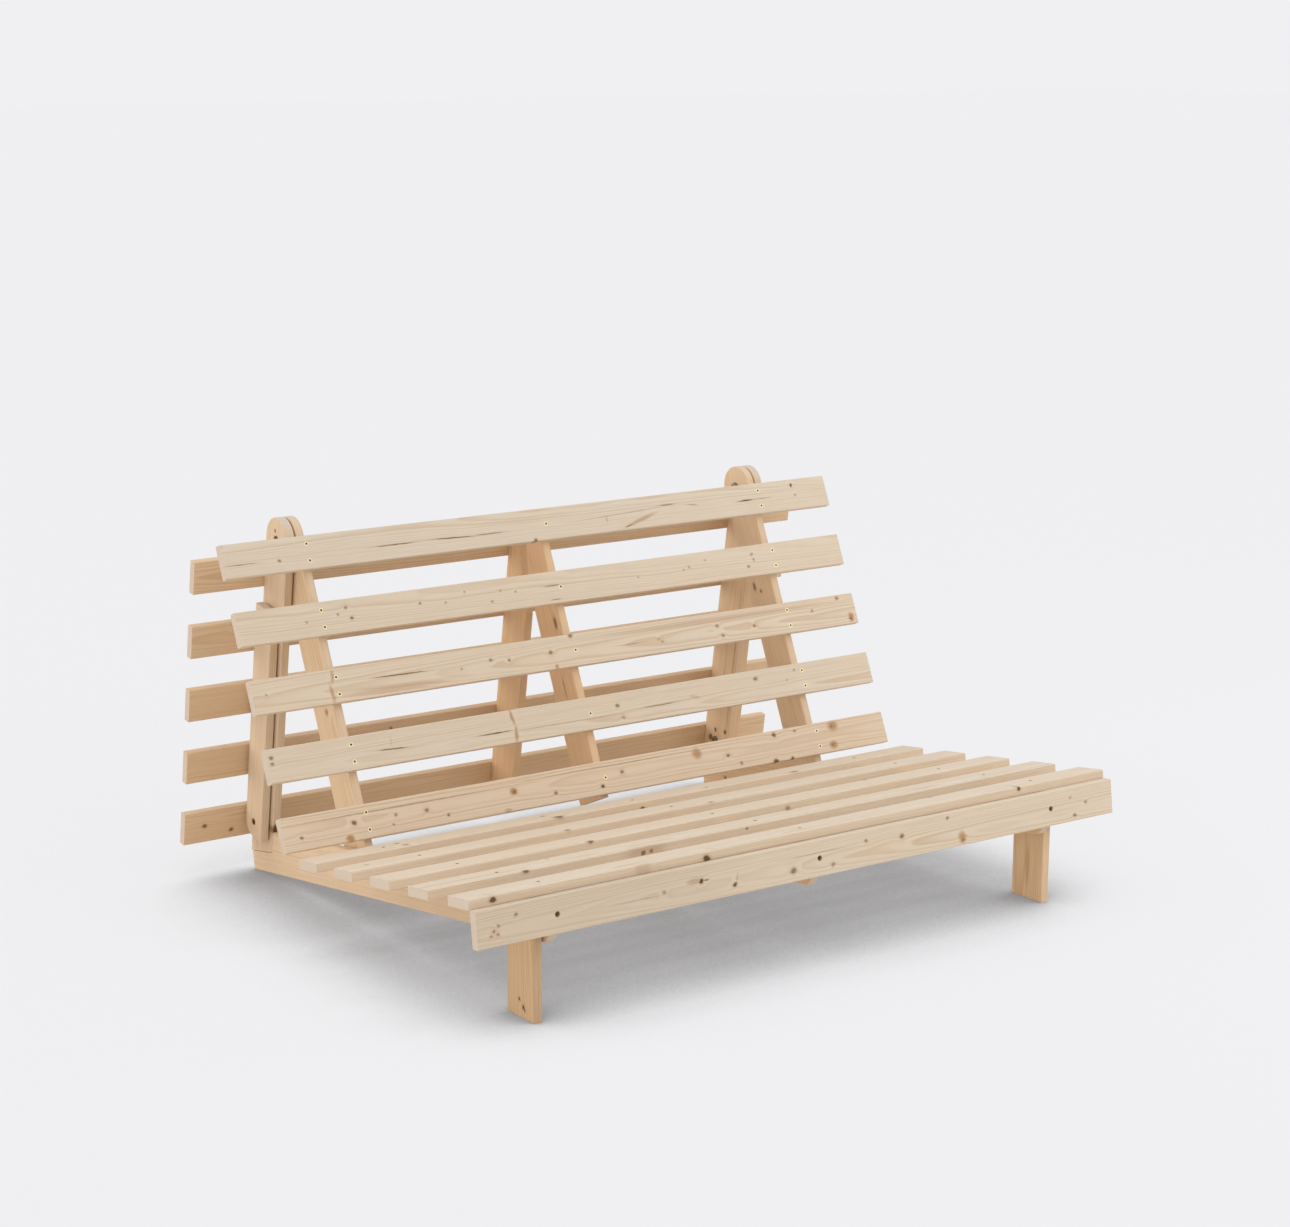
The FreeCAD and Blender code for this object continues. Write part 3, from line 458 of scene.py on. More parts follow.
def wood_group(wood):
    """Planed spruce cut from a log: growth rings round a pith that runs beside the board, fine fibres,
    cloudy tone, and greyer sawn ends. Board coordinates in metres, x along the grain."""
    tree, given, made = new_group(
        "planed spruce", "ShaderNodeTree",
        [("Vector", "Vector"), ("Pith", "Vector"), ("Seed", "Float"), ("Tone", "Float"),
         ("Contrast", "Float"), ("End", "Float"), ("Dark", "Float"), ("Stain", "Float"), ("Swell", "Float")],
        [("Color", "Color"), ("Roughness", "Float"), ("Height", "Float")])

    # The grain wanders by a few millimetres over half a metre of board.
    long_waves = add(tree, "ShaderNodeVectorMath", {0: given["Vector"], 1: repeats(WANDER_SIZE)},
                     operation="MULTIPLY")
    wander = add(tree, "ShaderNodeTexNoise", {
        "Vector": long_waves.outputs[0], "W": given["Seed"], "Scale": 1.0, "Detail": 2.0},
        noise_dimensions="4D")
    centred = add(tree, "ShaderNodeVectorMath", {0: wander.outputs["Color"], 1: NOISE_MIDDLE},
                  operation="SUBTRACT")
    shift = add(tree, "ShaderNodeVectorMath", {0: centred.outputs[0], 1: metres(WANDER_REACH)},
                operation="MULTIPLY")
    bent = add(tree, "ShaderNodeVectorMath", {0: given["Vector"], 1: shift.outputs[0]}, operation="ADD")

    # The pith's slope along the board gives the pointed arches of a flat-sawn face.
    parts = add(tree, "ShaderNodeSeparateXYZ", {0: bent.outputs[0]})
    pith = add(tree, "ShaderNodeSeparateXYZ", {0: given["Pith"]})
    aside = add(tree, "ShaderNodeMath", {0: parts.outputs["Y"], 1: pith.outputs["Y"]}, operation="SUBTRACT")
    depth = add(tree, "ShaderNodeMath", {0: parts.outputs["Z"], 1: pith.outputs["Z"]}, operation="SUBTRACT")
    sloped = add(tree, "ShaderNodeMath", {0: parts.outputs["X"], 1: pith.outputs["X"], 2: depth.outputs[0]},
                 operation="MULTIPLY_ADD")
    radial = add(tree, "ShaderNodeCombineXYZ", {"Y": aside.outputs[0], "Z": sloped.outputs[0]})
    radius = add(tree, "ShaderNodeVectorMath", {0: radial.outputs[0]}, operation="LENGTH").outputs["Value"]
    years = add(tree, "ShaderNodeMath", {0: radius, 1: 1 / wood.ring_width, 2: given["Swell"]},
                operation="MULTIPLY_ADD").outputs[0]

    # Each ring darkens slowly and breaks off sharply, and some years are fainter than others.
    part = add(tree, "ShaderNodeMath", {0: years}, operation="FRACT").outputs[0]
    rise = add(tree, "ShaderNodeMapRange", {"Value": part, "From Min": LATE_BEGIN, "From Max": LATE_FULL},
               interpolation_type="SMOOTHSTEP").outputs[0]
    fall = add(tree, "ShaderNodeMapRange", {"Value": part, "From Min": 1.0, "From Max": LATE_BREAK},
               interpolation_type="SMOOTHSTEP").outputs[0]
    line = add(tree, "ShaderNodeMath", {0: rise, 1: fall}, operation="MULTIPLY").outputs[0]
    year = add(tree, "ShaderNodeMath", {0: years}, operation="FLOOR").outputs[0]
    season = add(tree, "ShaderNodeMath", {0: year, 1: given["Seed"]}, operation="ADD").outputs[0]
    luck = add(tree, "ShaderNodeTexWhiteNoise", {"W": season}, noise_dimensions="1D").outputs["Value"]
    growth = add(tree, "ShaderNodeMapRange", {"Value": luck, "To Min": FAINT_YEAR, "To Max": 1.0}).outputs[0]
    ring = add(tree, "ShaderNodeMath", {0: line, 1: growth}, operation="MULTIPLY").outputs[0]
    shown = add(tree, "ShaderNodeMath", {0: ring, 1: given["Contrast"]}, operation="MULTIPLY").outputs[0]

    stretched = add(tree, "ShaderNodeVectorMath", {0: bent.outputs[0], 1: repeats(FIBRE_SIZE)},
                    operation="MULTIPLY")
    fibre = add(tree, "ShaderNodeTexNoise", {
        "Vector": stretched.outputs[0], "W": given["Seed"], "Scale": 1.0, "Detail": 3.0, "Roughness": 0.6},
        noise_dimensions="4D").outputs["Fac"]
    patches = add(tree, "ShaderNodeVectorMath", {0: given["Vector"], 1: repeats(CLOUD_SIZE)},
                  operation="MULTIPLY")
    cloud = add(tree, "ShaderNodeTexNoise", {
        "Vector": patches.outputs[0], "W": given["Seed"], "Scale": 1.0, "Detail": 2.0},
        noise_dimensions="4D").outputs["Fac"]
    cloudy = add(tree, "ShaderNodeMapRange", {
        "Value": cloud, "From Min": 0.35, "From Max": 0.75, "To Max": CLOUD_TONE}).outputs[0]
    toned = add(tree, "ShaderNodeMath", {0: given["Tone"], 1: cloudy}, operation="ADD",
                use_clamp=True).outputs[0]
    sawn = add(tree, "ShaderNodeMath", {0: given["End"], 1: SAWN_SHARE}, operation="MULTIPLY").outputs[0]

    # Each tint is laid over what is there, by its own amount; the knot colour also lays painted shade, and
    # the warm tone painted warm shade.
    colour = opaque(wood.early_wood)
    for amount, tint in ((toned, wood.warm_wood_and_shade), (shown, wood.late_wood), (given["Stain"], wood.stain),
                         (given["Dark"], wood.knot), (sawn, wood.end_grain)):
        colour = add(tree, "ShaderNodeMix", {"Factor": amount, "A": colour, "B": opaque(tint)},
                     data_type="RGBA").outputs["Result"]
    shade = add(tree, "ShaderNodeMapRange", {
        "Value": fibre, "From Min": 0.25, "From Max": 0.75, "To Min": FIBRE_SHADE[0],
        "To Max": FIBRE_SHADE[1]}).outputs[0]
    final = add(tree, "ShaderNodeVectorMath", {0: colour, "Scale": shade}, operation="SCALE")
    tree.links.new(final.outputs[0], made["Color"])
    rough = add(tree, "ShaderNodeMapRange", {
        "Value": fibre, "To Min": PLANED_ROUGHNESS[0], "To Max": PLANED_ROUGHNESS[1]})
    tree.links.new(rough.outputs[0], made["Roughness"])
    relief = add(tree, "ShaderNodeMath", {0: ring, 1: RING_RELIEF, 2: fibre}, operation="MULTIPLY_ADD")
    tree.links.new(relief.outputs[0], made["Height"])
    return tree


def board_axes(node):
    """A board's grain, width and thickness directions at rest."""
    part = node.split("_")[0]
    if node == "front_board":
        return ACROSS, SEAT_FACING, -SEAT_ALONG
    if part == "leg":
        return Vector((0, 0, -1)), Vector((0, 1, 0)), ACROSS
    if part == "stay":
        return REAR_ALONG, REAR_FACING, ACROSS
    along, facing = SECTIONS[part]
    if "_slat_" in node:
        return ACROSS, along, facing
    return along, facing, ACROSS


def board_marks(node, chance):
    """The board's own marks, none on a clear board, and a few small knots by chance on any other."""
    if node in MARKS:
        return MARKS[node]
    if node in CLEAR_BOARDS:
        return []
    low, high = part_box(node)
    reach = STRAY_REACH * (high - low).length / MM
    found = []
    for _ in range(chance.randint(*STRAY_KNOTS)):
        along = chance.uniform(-reach, reach)
        across = chance.uniform(-STRAY_ACROSS, STRAY_ACROSS)
        found.append(knot(along, across, chance.uniform(*STRAY_RADIUS), chance.uniform(*STRAY_DARKNESS)))
    return found


def steepness(tree, part):
    """One where the surface faces fully along an axis, given that part of its normal."""
    amount = add(tree, "ShaderNodeMath", {0: part}, operation="ABSOLUTE").outputs[0]
    return add(tree, "ShaderNodeMapRange", {"Value": amount, "From Min": 0.55, "From Max": 0.85},
               interpolation_type="SMOOTHSTEP").outputs[0]


def new_material(name):
    """A material with an empty node tree."""
    material = bpy.data.materials.new(name)
    material.use_nodes = True
    material.node_tree.nodes.clear()
    return material, material.node_tree


def give_material(piece, material):
    """Leave a piece with this one material."""
    piece.data.materials.clear()
    piece.data.materials.append(material)


def dress_board(node, wood_tree, mark_tree):
    """Give one board a spruce material of its own, turned to its grain."""
    chance = random.Random(f"spruce {node}")
    grain, width, thickness = board_axes(node)
    turn = Matrix((grain, width, thickness)).transposed().to_euler()
    low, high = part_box(node)
    middle = (low + high) / 2

    # Raw planed spruce: a matt, pale, slightly silky face with soft lines and small dark knots.
    material, tree = new_material(f"planed_spruce_{node}")
    coords = add(tree, "ShaderNodeTexCoord")
    local = add(tree, "ShaderNodeMapping", {
        "Vector": coords.outputs["Object"], "Location": middle, "Rotation": turn},
        vector_type="TEXTURE").outputs[0]
    facing = add(tree, "ShaderNodeMapping", {"Vector": coords.outputs["Normal"], "Rotation": turn},
                 vector_type="TEXTURE")
    normal = add(tree, "ShaderNodeSeparateXYZ", {0: facing.outputs[0]})
    end = steepness(tree, normal.outputs["X"])
    edge = steepness(tree, normal.outputs["Y"])
    # The seat slats' narrow edges get painted warm shade.
    painted_edge_shade = PAINTED_EDGE_SHADE if node.startswith("seat_slat") else 0.0
    # High tones on the inner boards are painted warm shade.
    face_tone_and_shade = TONES_AND_SHADE.get(node, chance.uniform(*PALEST_TONES))
    tone = add(tree, "ShaderNodeMath", {0: edge, 1: painted_edge_shade, 2: face_tone_and_shade}, operation="MULTIPLY_ADD")

    # Marks have slightly ragged edges.
    drawn = add(tree, "ShaderNodeVectorMath", {0: local, 1: repeats(RAGGED_SIZE)}, operation="MULTIPLY")
    ragged = add(tree, "ShaderNodeTexNoise", {"Vector": drawn.outputs[0], "Scale": 1.0, "Detail": 1.0})
    offset = add(tree, "ShaderNodeVectorMath", {0: ragged.outputs["Color"], 1: NOISE_MIDDLE},
                 operation="SUBTRACT")
    small = add(tree, "ShaderNodeVectorMath", {0: offset.outputs[0], 1: metres(RAGGED_REACH)},
                operation="MULTIPLY")
    moved = add(tree, "ShaderNodeVectorMath", {0: local, 1: small.outputs[0]}, operation="ADD").outputs[0]
    carried = {"Dark": 0.0, "Stain": 0.0, "Swell": 0.0}
    for inputs in board_marks(node, chance):
        spot = add(tree, "ShaderNodeGroup", {"Vector": moved, **inputs, **carried}, node_tree=mark_tree)
        carried = {name: spot.outputs[name] for name in carried}

    side = chance.choice((-1, 1))
    slope = chance.uniform(-PITH_SLOPE, PITH_SLOPE)
    aside = chance.uniform(-PITH_ASIDE, PITH_ASIDE) * MM
    depth = side * chance.uniform(*PITH_DEPTH) * MM
    inputs = {
        "Vector": local, "Pith": (slope, aside, depth), "Seed": chance.uniform(0, SEED_LIMIT),
        "Tone": tone.outputs[0], "Contrast": LINED_AND_SHADED.get(node, PLAIN_CONTRAST), "End": end, **carried,
    }
    spruce = add(tree, "ShaderNodeGroup", inputs, node_tree=wood_tree)
    bump = add(tree, "ShaderNodeBump", {
        "Height": spruce.outputs["Height"], "Strength": 0.35, "Distance": BUMP_HEIGHT})
    shader = add(tree, "ShaderNodeBsdfPrincipled", {
        "Base Color": spruce.outputs["Color"], "Roughness": spruce.outputs["Roughness"],
        "Normal": bump.outputs[0], "IOR": 1.5, "Specular IOR Level": 0.32})
    add(tree, "ShaderNodeOutputMaterial", {"Surface": shader.outputs[0]})
    give_material(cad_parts[node], material)


# Width of the mottling in a metal's plate.
SPANGLE = 1.11 * MM
PLATE_MOTTLE = 0.833 * MM


def steel_material(name, colour, roughness):
    """Dull zinc-plated or browned steel: fine crystalline mottling, no grain."""
    material, tree = new_material(name)
    coords = add(tree, "ShaderNodeTexCoord")
    speckle = add(tree, "ShaderNodeTexNoise", {
        "Vector": coords.outputs["Object"], "Scale": 1 / SPANGLE, "Detail": 2.0}).outputs["Fac"]
    tint = add(tree, "ShaderNodeMapRange", {"Value": speckle, "To Min": 0.75, "To Max": 1.2})
    mottled = add(tree, "ShaderNodeVectorMath", {0: tuple(colour), "Scale": tint.outputs[0]},
                  operation="SCALE")
    rough = add(tree, "ShaderNodeMapRange", {
        "Value": speckle, "To Min": roughness - 0.1, "To Max": roughness + 0.1})
    shader = add(tree, "ShaderNodeBsdfPrincipled", {
        "Base Color": mottled.outputs[0], "Metallic": 1.0, "Roughness": rough.outputs[0]})
    add(tree, "ShaderNodeOutputMaterial", {"Surface": shader.outputs[0]})
    return material


def plated_material(name, plating, recess):
    """Yellow zinc plate: a pale brassy sheen, with painted shade, less metallic, in the cross recess and on
    the middle of the head.
    """
    material, tree = new_material(name)
    # The recess attribute marks where painted shade covers the plate.
    recess_shade = add(tree, "ShaderNodeAttribute", attribute_name="recess").outputs["Fac"]
    coords = add(tree, "ShaderNodeTexCoord")
    mottle = add(tree, "ShaderNodeTexNoise", {"Vector": coords.outputs["Object"], "Scale": 1 / PLATE_MOTTLE})
    colour = add(tree, "ShaderNodeMix", {"Factor": recess_shade, "A": opaque(plating), "B": opaque(recess)},
                 data_type="RGBA")
    rough = add(tree, "ShaderNodeMapRange", {"Value": mottle.outputs["Fac"], "To Min": 0.32, "To Max": 0.55})
    metal = add(tree, "ShaderNodeMapRange", {"Value": recess_shade, "To Min": 0.25, "To Max": 0.0})
    shader = add(tree, "ShaderNodeBsdfPrincipled", {
        "Base Color": colour.outputs["Result"], "Metallic": metal.outputs[0], "Roughness": rough.outputs[0]})
    add(tree, "ShaderNodeOutputMaterial", {"Surface": shader.outputs[0]})
    return material


def screw_mesh(settings):
    """A countersunk cross-recess screw that points down from its head at the origin."""
    turns = 20
    head = settings.head / 2
    shank = settings.shank / 2
    rim = 0.25 * MM
    point = 4 * MM
    shaded_middle = 2.5 * MM
    arm = 2.2 * MM
    slot = 0.85 * MM
    recess_depth = 1.7 * MM
    recess_taper = 0.55
    # How far the recess colour, a painted shade, goes over the plate, in the cross and round it.
    cross_shade = 1.0
    middle_shade = 0.8
    mesh = bpy.data.meshes.new("slat_screw")
    shape = bmesh.new()
    recess_shade = shape.faces.layers.float.new("recess")

    def ring(radius, height):
        angles = [math.tau * step / turns for step in range(turns)]
        places = [(radius * math.cos(turn), radius * math.sin(turn), height) for turn in angles]
        return [shape.verts.new(place) for place in places]

    def close(upper, lower):
        faces = []
        for step in range(len(upper)):
            following = (step + 1) % len(upper)
            faces.append(shape.faces.new((upper[step], lower[step], lower[following], upper[following])))
        return faces

    def cross(height, scale):
        corners = [
            (slot, slot), (slot, arm), (-slot, arm), (-slot, slot), (-arm, slot), (-arm, -slot),
            (-slot, -slot), (-slot, -arm), (slot, -arm), (slot, -slot), (arm, -slot), (arm, slot),
        ]
        return [shape.verts.new((x * scale, y * scale, height)) for x, y in corners]

    rings = [
        ring(shaded_middle, 0), ring(head, 0), ring(head, -rim), ring(shank, -(head - shank) - rim),
        ring(shank, -settings.length + point),
    ]
    for upper, lower in zip(rings, rings[1:]):
        close(upper, lower)
    tip = shape.verts.new((0, 0, -settings.length))
    for step in range(turns):
        shape.faces.new((rings[-1][step], tip, rings[-1][(step + 1) % turns]))
    brim = cross(0, 1)
    pit = cross(-recess_depth, recess_taper)
    for face in (*close(brim, pit), shape.faces.new(pit)):
        face[recess_shade] = cross_shade
    edges = [edge for edge in shape.edges if len(edge.link_faces) == 1]
    filled = bmesh.ops.triangle_fill(shape, use_beauty=True, use_dissolve=False, edges=edges)
    for item in filled["geom"]:
        if isinstance(item, bmesh.types.BMFace):
            item[recess_shade] = middle_shade
    bmesh.ops.recalc_face_normals(shape, faces=shape.faces)
    shape.to_mesh(mesh)
    shape.free()
    return mesh


def screw_tree():
    """Set one screw at each point, its head square to the slats and its cross turned by chance."""
    tree, given, made = new_group(
        "slat screws", "GeometryNodeTree",
        [("Geometry", "Geometry"), ("Screw", "Object"), ("Facing", "Vector"), ("Seed", "Int"),
         ("Material", "Material")],
        [("Geometry", "Geometry")])
    screw = add(tree, "GeometryNodeObjectInfo", {"Object": given["Screw"]}, transform_space="ORIGINAL")
    upright = add(tree, "FunctionNodeAlignRotationToVector", {"Vector": given["Facing"]}, axis="Z")
    # A random float has its least and most on the third and fourth sockets, and comes out of the second.
    spin = add(tree, "FunctionNodeRandomValue", {2: 0.0, 3: math.tau, "Seed": given["Seed"]},
               data_type="FLOAT")
    turn = add(tree, "FunctionNodeAxisAngleToRotation", {"Axis": (0, 0, 1), "Angle": spin.outputs[1]})
    both = add(tree, "FunctionNodeRotateRotation", {
        "Rotation": upright.outputs[0], "Rotate By": turn.outputs[0]}, rotation_space="LOCAL")
    placed = add(tree, "GeometryNodeInstanceOnPoints", {
        "Points": given["Geometry"], "Instance": screw.outputs["Geometry"], "Rotation": both.outputs[0]})
    real = add(tree, "GeometryNodeRealizeInstances", {0: placed.outputs[0]})
    finished = add(tree, "GeometryNodeSetMaterial", {
        "Geometry": real.outputs[0], "Material": given["Material"]})
    tree.links.new(finished.outputs[0], made["Geometry"])
    return tree


# Where the screws sit on a slat, in millimetres from its middle: one there, and rows at the outer rails.
SLAT_NUMBERS = range(1, 6)
SCREW_ROWS = {"seat": (0,), "back": (-16, 16), "rear": (-16, 16)}
SCREW_RAILS = {"seat": 545.5, "back": 525.5, "rear": 545.5}
SCREW_SEEDS = {"seat": 3, "back": 8, "rear": 21}
SLAT_HALF_THICKNESS = 8.5 * MM
SCREW_SINK = 0.15 * MM


def screw_points(part):
    """The screws' places on one section's slats."""
    along, facing = SECTIONS[part]
    points = []
    for number in SLAT_NUMBERS:
        low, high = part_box(f"{part}_slat_{number}")
        face = (low + high) / 2 + facing * (SLAT_HALF_THICKNESS - SCREW_SINK)
        points.append(face)
        for row in SCREW_ROWS[part]:
            for side in (-1, 1):
                points.append(face + along * (row * MM) + ACROSS * (side * SCREW_RAILS[part] * MM))
    return points


def set_modifier_input(modifier, tree, name, value):
    """Set a modifier's input by the identifier of the socket with this name."""
    for item in tree.interface.items_tree:
        if item.item_type == "SOCKET" and item.in_out == "INPUT" and item.name == name:
            modifier[item.identifier] = value


def drive_screws(part, screw, tree, material):
    """Grow one section's screws and keep them as a plain mesh that rides with it."""
    places = bpy.data.meshes.new(f"{part}_screw_places")
    places.from_pydata(screw_points(part), [], [])
    piece = bpy.data.objects.new(f"{part}_screws", places)
    bpy.context.scene.collection.objects.link(piece)
    modifier = piece.modifiers.new("screws", "NODES")
    modifier.node_group = tree
    inputs = {"Screw": screw, "Facing": SECTIONS[part][1], "Seed": SCREW_SEEDS[part], "Material": material}
    for name, value in inputs.items():
        set_modifier_input(modifier, tree, name, value)
    bpy.context.view_layer.update()
    graph = bpy.context.evaluated_depsgraph_get()
    grown = bpy.data.meshes.new_from_object(piece.evaluated_get(graph))
    if not grown.polygons:
        raise RuntimeError(f"no screws grew on the {part} slats")
    piece.modifiers.remove(modifier)
    piece.data = grown
    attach(piece, part)
    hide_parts(f"{part}_slat_screws")


def part_boards(part):
    """The wooden nodes of one section."""
    boards = [f"{part}_slat_{number}" for number in SLAT_NUMBERS]
    return boards + [f"{part}_rail_{place}" for place in ("left", "centre", "right")]


def shared_group(name, make):
    """The node group of this name, made the first time it is asked for."""
    return bpy.data.node_groups.get(name) or make()


def dress(nodes):
    """Finish these boards in planed spruce."""
    wood = bpy.context.scene.futon_wood
    wood_tree = shared_group("planed spruce", lambda: wood_group(wood))
    mark_tree = shared_group("board mark", mark_group)
    for node in nodes:
        dress_board(node, wood_tree, mark_tree)


class FUTON_OT_dress_seat(bpy.types.Operator):
    """Finish the seat's slats, rails and front board in planed spruce"""

    bl_idname = "futon.dress_seat"
    bl_label = "Seat boards"

    def execute(self, context):
        dress(part_boards("seat") + ["front_board"])
        return {"FINISHED"}


class FUTON_OT_dress_back(bpy.types.Operator):
    """Finish the back's slats and rails in planed spruce"""

    bl_idname = "futon.dress_back"
    bl_label = "Back boards"

    def execute(self, context):
        dress(part_boards("back"))
        return {"FINISHED"}


class FUTON_OT_dress_rear(bpy.types.Operator):
    """Finish the rear section's slats and rails in planed spruce"""

    bl_idname = "futon.dress_rear"
    bl_label = "Rear boards"

    def execute(self, context):
        dress(part_boards("rear"))
        return {"FINISHED"}


class FUTON_OT_dress_legs(bpy.types.Operator):
    """Finish the legs and stays in planed spruce"""

    bl_idname = "futon.dress_legs"
    bl_label = "Legs and stays"

    def execute(self, context):
        dress(["leg_left", "leg_right", "stay_left", "stay_right"])
        return {"FINISHED"}


class FUTON_OT_drive_screws(bpy.types.Operator):
    """Set the countersunk screws in all slats"""

    bl_idname = "futon.drive_screws"
    bl_label = "Slat screws"

    def execute(self, context):
        settings = context.scene.futon_screws
        screw = bpy.data.objects.new("slat_screw", screw_mesh(settings))
        bright = plated_material("yellow_zinc_plate", settings.plating, settings.recess)
        # The seat's screws take the darker plate, a painted shade.
        seat_shade_plate = plated_material("seat_shade_zinc_plate", settings.seat_shade_plate, settings.recess)
        tree = screw_tree()
        for part in SECTIONS:
            drive_screws(part, screw, tree, seat_shade_plate if part == "seat" else bright)
        bpy.data.objects.remove(screw)
        return {"FINISHED"}


class FUTON_OT_finish_fittings(bpy.types.Operator):
    """Finish the bolts, nuts and spacers in steel"""

    bl_idname = "futon.finish_fittings"
    bl_label = "Bolts, nuts and spacers"

    def execute(self, context):
        settings = context.scene.futon_screws
        zinc = steel_material("dull_zinc_plate", settings.nut_plate, roughness=0.5)
        brown = steel_material("browned_steel", settings.bolt_steel, roughness=0.6)
        for name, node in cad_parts.items():
            if name.endswith("bolts"):
                give_material(node, brown)
            elif name.endswith(("nuts", "spacers")):
                give_material(node, zinc)
        return {"FINISHED"}


def add_sun(name, towards, strength, spread, colour=(1, 1, 1)):
    """A soft lamp without falloff; towards points from the frame to it, and spread is in degrees."""
    lamp = bpy.data.lights.new(name, "SUN")
    lamp.energy = strength
    lamp.color = colour
    lamp.angle = math.radians(spread)
    item = bpy.data.objects.new(name, lamp)
    item.rotation_euler = Vector(towards).to_track_quat("Z", "Y").to_euler()
    bpy.context.scene.collection.objects.link(item)


def add_panel(name, place, target, size, power):
    """A square soft box, near enough to light its side of the frame more."""
    lamp = bpy.data.lights.new(name, "AREA")
    lamp.energy = power
    lamp.size = size
    item = bpy.data.objects.new(name, lamp)
    item.location = place
    item.rotation_euler = (Vector(place) - Vector(target)).to_track_quat("Z", "Y").to_euler()
    bpy.context.scene.collection.objects.link(item)


def seen_by_eye(tree):
    """One for rays that the eye follows: straight to the camera, mirrored or through glass."""
    path = add(tree, "ShaderNodeLightPath")
    mirrored = add(tree, "ShaderNodeMath", {
        0: path.outputs["Is Camera Ray"], 1: path.outputs["Is Glossy Ray"]}, operation="MAXIMUM")
    return add(tree, "ShaderNodeMath", {0: mirrored.outputs[0], 1: path.outputs["Is Transmission Ray"]},
               operation="MAXIMUM").outputs[0]


def make_world(stage):
    """An even white room, which the eye sees as the plain background."""
    world = bpy.data.worlds.new("studio")
    bpy.context.scene.world = world
    world.use_nodes = True
    tree = world.node_tree
    tree.nodes.clear()
    eye = seen_by_eye(tree)
    strength = add(tree, "ShaderNodeMapRange", {"Value": eye, "To Min": stage.room_light, "To Max": 1.0})
    colour = add(tree, "ShaderNodeMix", {"Factor": eye, "A": (1, 1, 1, 1), "B": opaque(stage.background)},
                 data_type="RGBA")
    light = add(tree, "ShaderNodeBackground", {
        "Color": colour.outputs["Result"], "Strength": strength.outputs[0]})
    add(tree, "ShaderNodeOutputWorld", {"Surface": light.outputs[0]})


# The floor's half width and how near the frame shelters it, in metres, and the open share of the sky where
# the shade is deepest and where it ends.
FLOOR_HALF = 60.0
FLOOR_DROP = 0.2 * MM
SHELTER_REACH = 0.6
SHELTER_DEEPEST = 0.33
SHELTER_END = 0.85


def make_floor(stage):
    """Pale paper whose look is mostly a glow of the even backdrop, with a painted shadow where the frame
    shelters it.
    """
    corners = [(x * FLOOR_HALF, y * FLOOR_HALF, 0) for x, y in ((-1, -1), (1, -1), (1, 1), (-1, 1))]
    mesh = bpy.data.meshes.new("studio_floor")
    mesh.from_pydata(corners, [], [(0, 1, 2, 3)])
    floor = bpy.data.objects.new("studio_floor", mesh)
    bpy.context.scene.collection.objects.link(floor)
    floor.location.z = -FLOOR_DROP
    material, tree = new_material("studio_paper")
    eye = seen_by_eye(tree)
    colour = add(tree, "ShaderNodeMix", {"Factor": eye, "A": opaque(stage.bounce), "B": opaque(stage.paper)},
                 data_type="RGBA")
    paper = add(tree, "ShaderNodeBsdfDiffuse", {"Color": colour.outputs["Result"]})
    # The painted shadow: the backdrop's glow dims where the frame hides the open sky.
    open_sky = add(tree, "ShaderNodeAmbientOcclusion", {"Distance": SHELTER_REACH}, samples=16).outputs["AO"]
    shade = add(tree, "ShaderNodeMapRange", {
        "Value": open_sky, "From Min": SHELTER_DEEPEST, "From Max": SHELTER_END, "To Min": stage.contact},
        interpolation_type="SMOOTHSTEP")
    backdrop = add(tree, "ShaderNodeEmission", {
        "Color": opaque(stage.background), "Strength": shade.outputs[0]})
    share = add(tree, "ShaderNodeMath", {0: eye, 1: stage.evenness}, operation="MULTIPLY").outputs[0]
    floor_shader = add(tree, "ShaderNodeMixShader", {0: share, 1: paper.outputs[0], 2: backdrop.outputs[0]})
    add(tree, "ShaderNodeOutputMaterial", {"Surface": floor_shader.outputs[0]})
    mesh.materials.append(material)


def make_camera():
    """The photo's camera, with its lens shifted to the photo's framing."""
    yaw, pitch, roll = (math.radians(angle) for angle in (CAMERA_YAW, CAMERA_PITCH, CAMERA_ROLL))
    forward = Vector((math.sin(yaw) * math.cos(pitch), math.cos(yaw) * math.cos(pitch), -math.sin(pitch)))
    level = Vector((math.cos(yaw), -math.sin(yaw), 0))
    down = forward.cross(level)
    right = level * math.cos(roll) + down * math.sin(roll)
    up = level * math.sin(roll) - down * math.cos(roll)
    lens = bpy.data.cameras.new("camera")
    lens.sensor_width = SENSOR_WIDTH
    lens.sensor_fit = "HORIZONTAL"
    lens.lens = SENSOR_WIDTH * FOCAL_PIXELS / PHOTO_WIDTH
    lens.shift_x = (PHOTO_WIDTH / 2 - PRINCIPAL_X) / PHOTO_WIDTH
    lens.shift_y = (PRINCIPAL_Y - PHOTO_HEIGHT / 2) / PHOTO_WIDTH
    lens.clip_end = CLIP_END
    camera = bpy.data.objects.new("camera", lens)
    bpy.context.scene.collection.objects.link(camera)
    turn = Matrix((right, up, -forward)).transposed().to_4x4()
    camera.matrix_world = Matrix.Translation(CAMERA_PLACE) @ turn
    bpy.context.scene.camera = camera


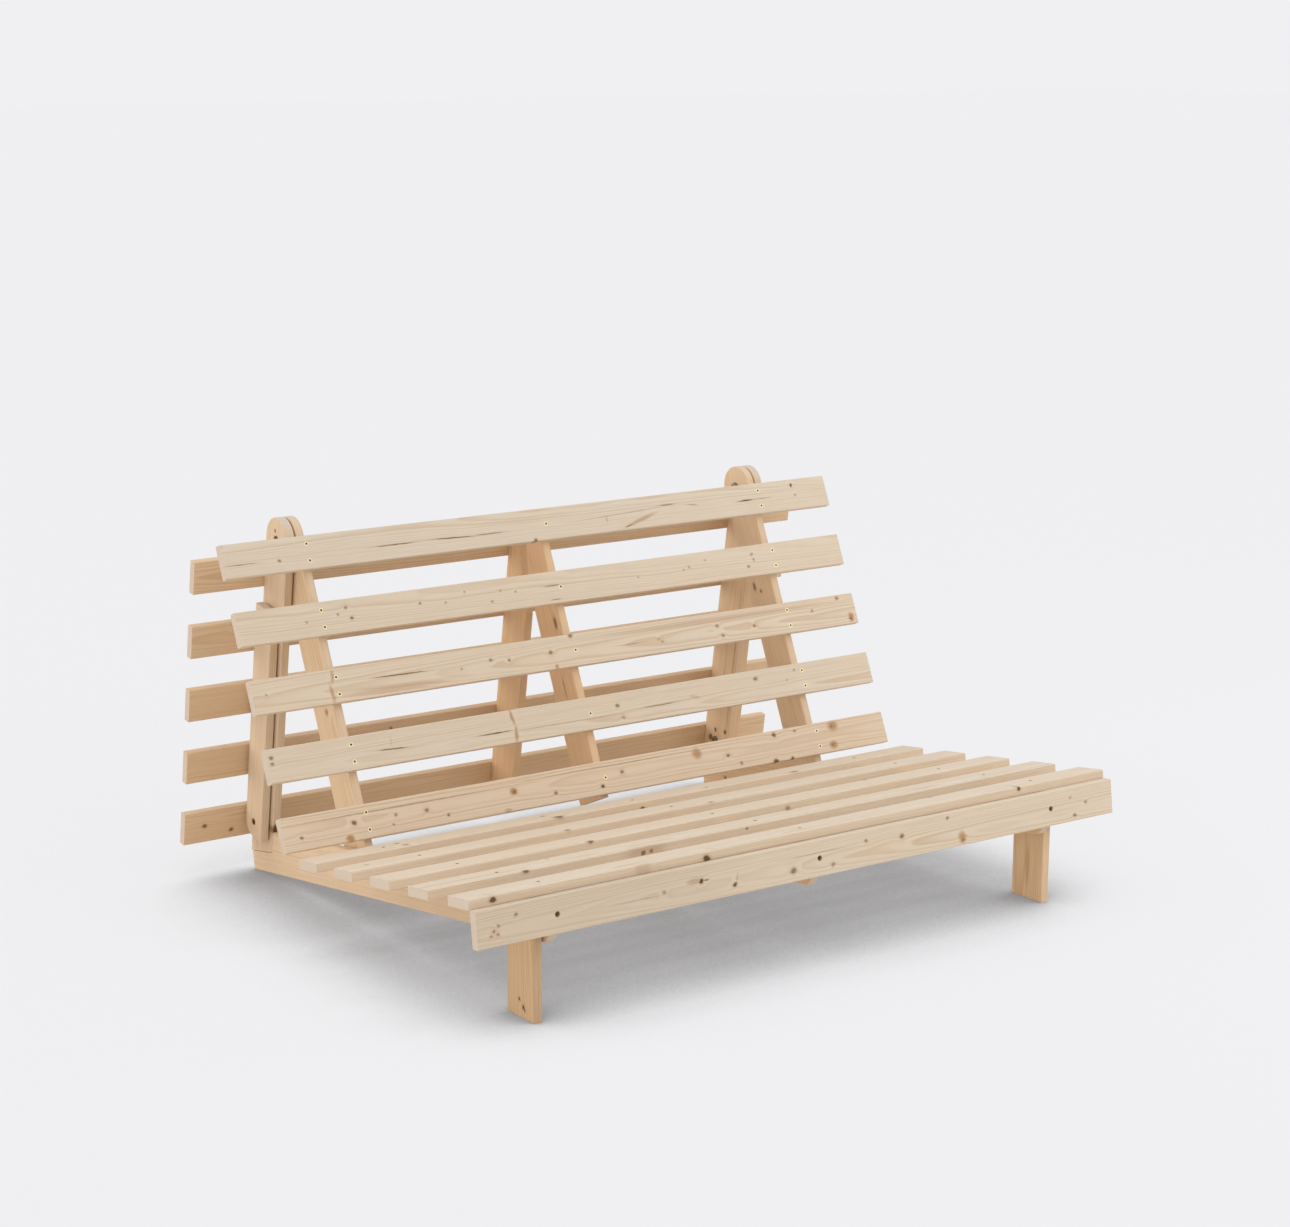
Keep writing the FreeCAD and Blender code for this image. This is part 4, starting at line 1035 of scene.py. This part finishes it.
class FUTON_OT_set_stage(bpy.types.Operator):
    """Lay the floor, hang the lights and set up the camera"""

    bl_idname = "futon.set_stage"
    bl_label = "Floor, light and camera"

    def execute(self, context):
        stage = context.scene.futon_stage
        context.scene.view_settings.view_transform = "Standard"
        make_world(stage)
        make_floor(stage)
        add_sun("front_light", towards=(0.5, -1.0, 0.8), strength=stage.front_light, spread=60)
        add_sun("left_light", towards=(-1.0, -0.15, 0.4), strength=stage.left_light, spread=90,
                colour=stage.left_tint)
        add_panel("right_light", place=(2.4, -1.6, 1.5), target=(0.4, 0.0, 0.3), size=1.2,
                  power=stage.right_light)
        add_sun("rear_light", towards=(-0.7, 0.7, 0.2), strength=stage.rear_light, spread=60,
                colour=stage.left_tint)
        add_sun("top_light", towards=(0.15, 0.0, 1.0), strength=stage.top_light, spread=90,
                colour=stage.top_tint)
        make_camera()
        return {"FINISHED"}


class FUTON_PT_sidebar(bpy.types.Panel):
    """Lists the frame's pieces and their settings"""

    bl_label = "Futon frame"
    bl_idname = "FUTON_PT_sidebar"
    bl_space_type = "VIEW_3D"
    bl_region_type = "UI"
    bl_category = "Futon"

    def draw(self, context):
        layout = self.layout
        for operator in OPERATORS:
            layout.operator(operator.bl_idname)
        for group in SETTINGS:
            settings = getattr(context.scene, group)
            box = layout.box()
            for name in settings.__annotations__:
                box.prop(settings, name)


SETTINGS = {"futon_wood": FUTON_PG_wood, "futon_screws": FUTON_PG_screws, "futon_stage": FUTON_PG_stage}
OPERATORS = (
    FUTON_OT_dress_seat, FUTON_OT_dress_back, FUTON_OT_dress_rear, FUTON_OT_dress_legs,
    FUTON_OT_drive_screws, FUTON_OT_finish_fittings, FUTON_OT_set_stage,
)


def register():
    for item in (*SETTINGS.values(), *OPERATORS, FUTON_PT_sidebar):
        bpy.utils.register_class(item)
    for name, settings in SETTINGS.items():
        setattr(bpy.types.Scene, name, bpy.props.PointerProperty(type=settings))


def unregister():
    for name in SETTINGS:
        delattr(bpy.types.Scene, name)
    for item in (FUTON_PT_sidebar, *reversed(OPERATORS), *reversed(SETTINGS.values())):
        bpy.utils.unregister_class(item)


def main():
    register()
    bpy.ops.futon.dress_seat()
    bpy.ops.futon.dress_back()
    bpy.ops.futon.dress_rear()
    bpy.ops.futon.dress_legs()
    bpy.ops.futon.drive_screws()
    bpy.ops.futon.finish_fittings()
    bpy.ops.futon.set_stage()


if __name__ == "__main__":
    main()
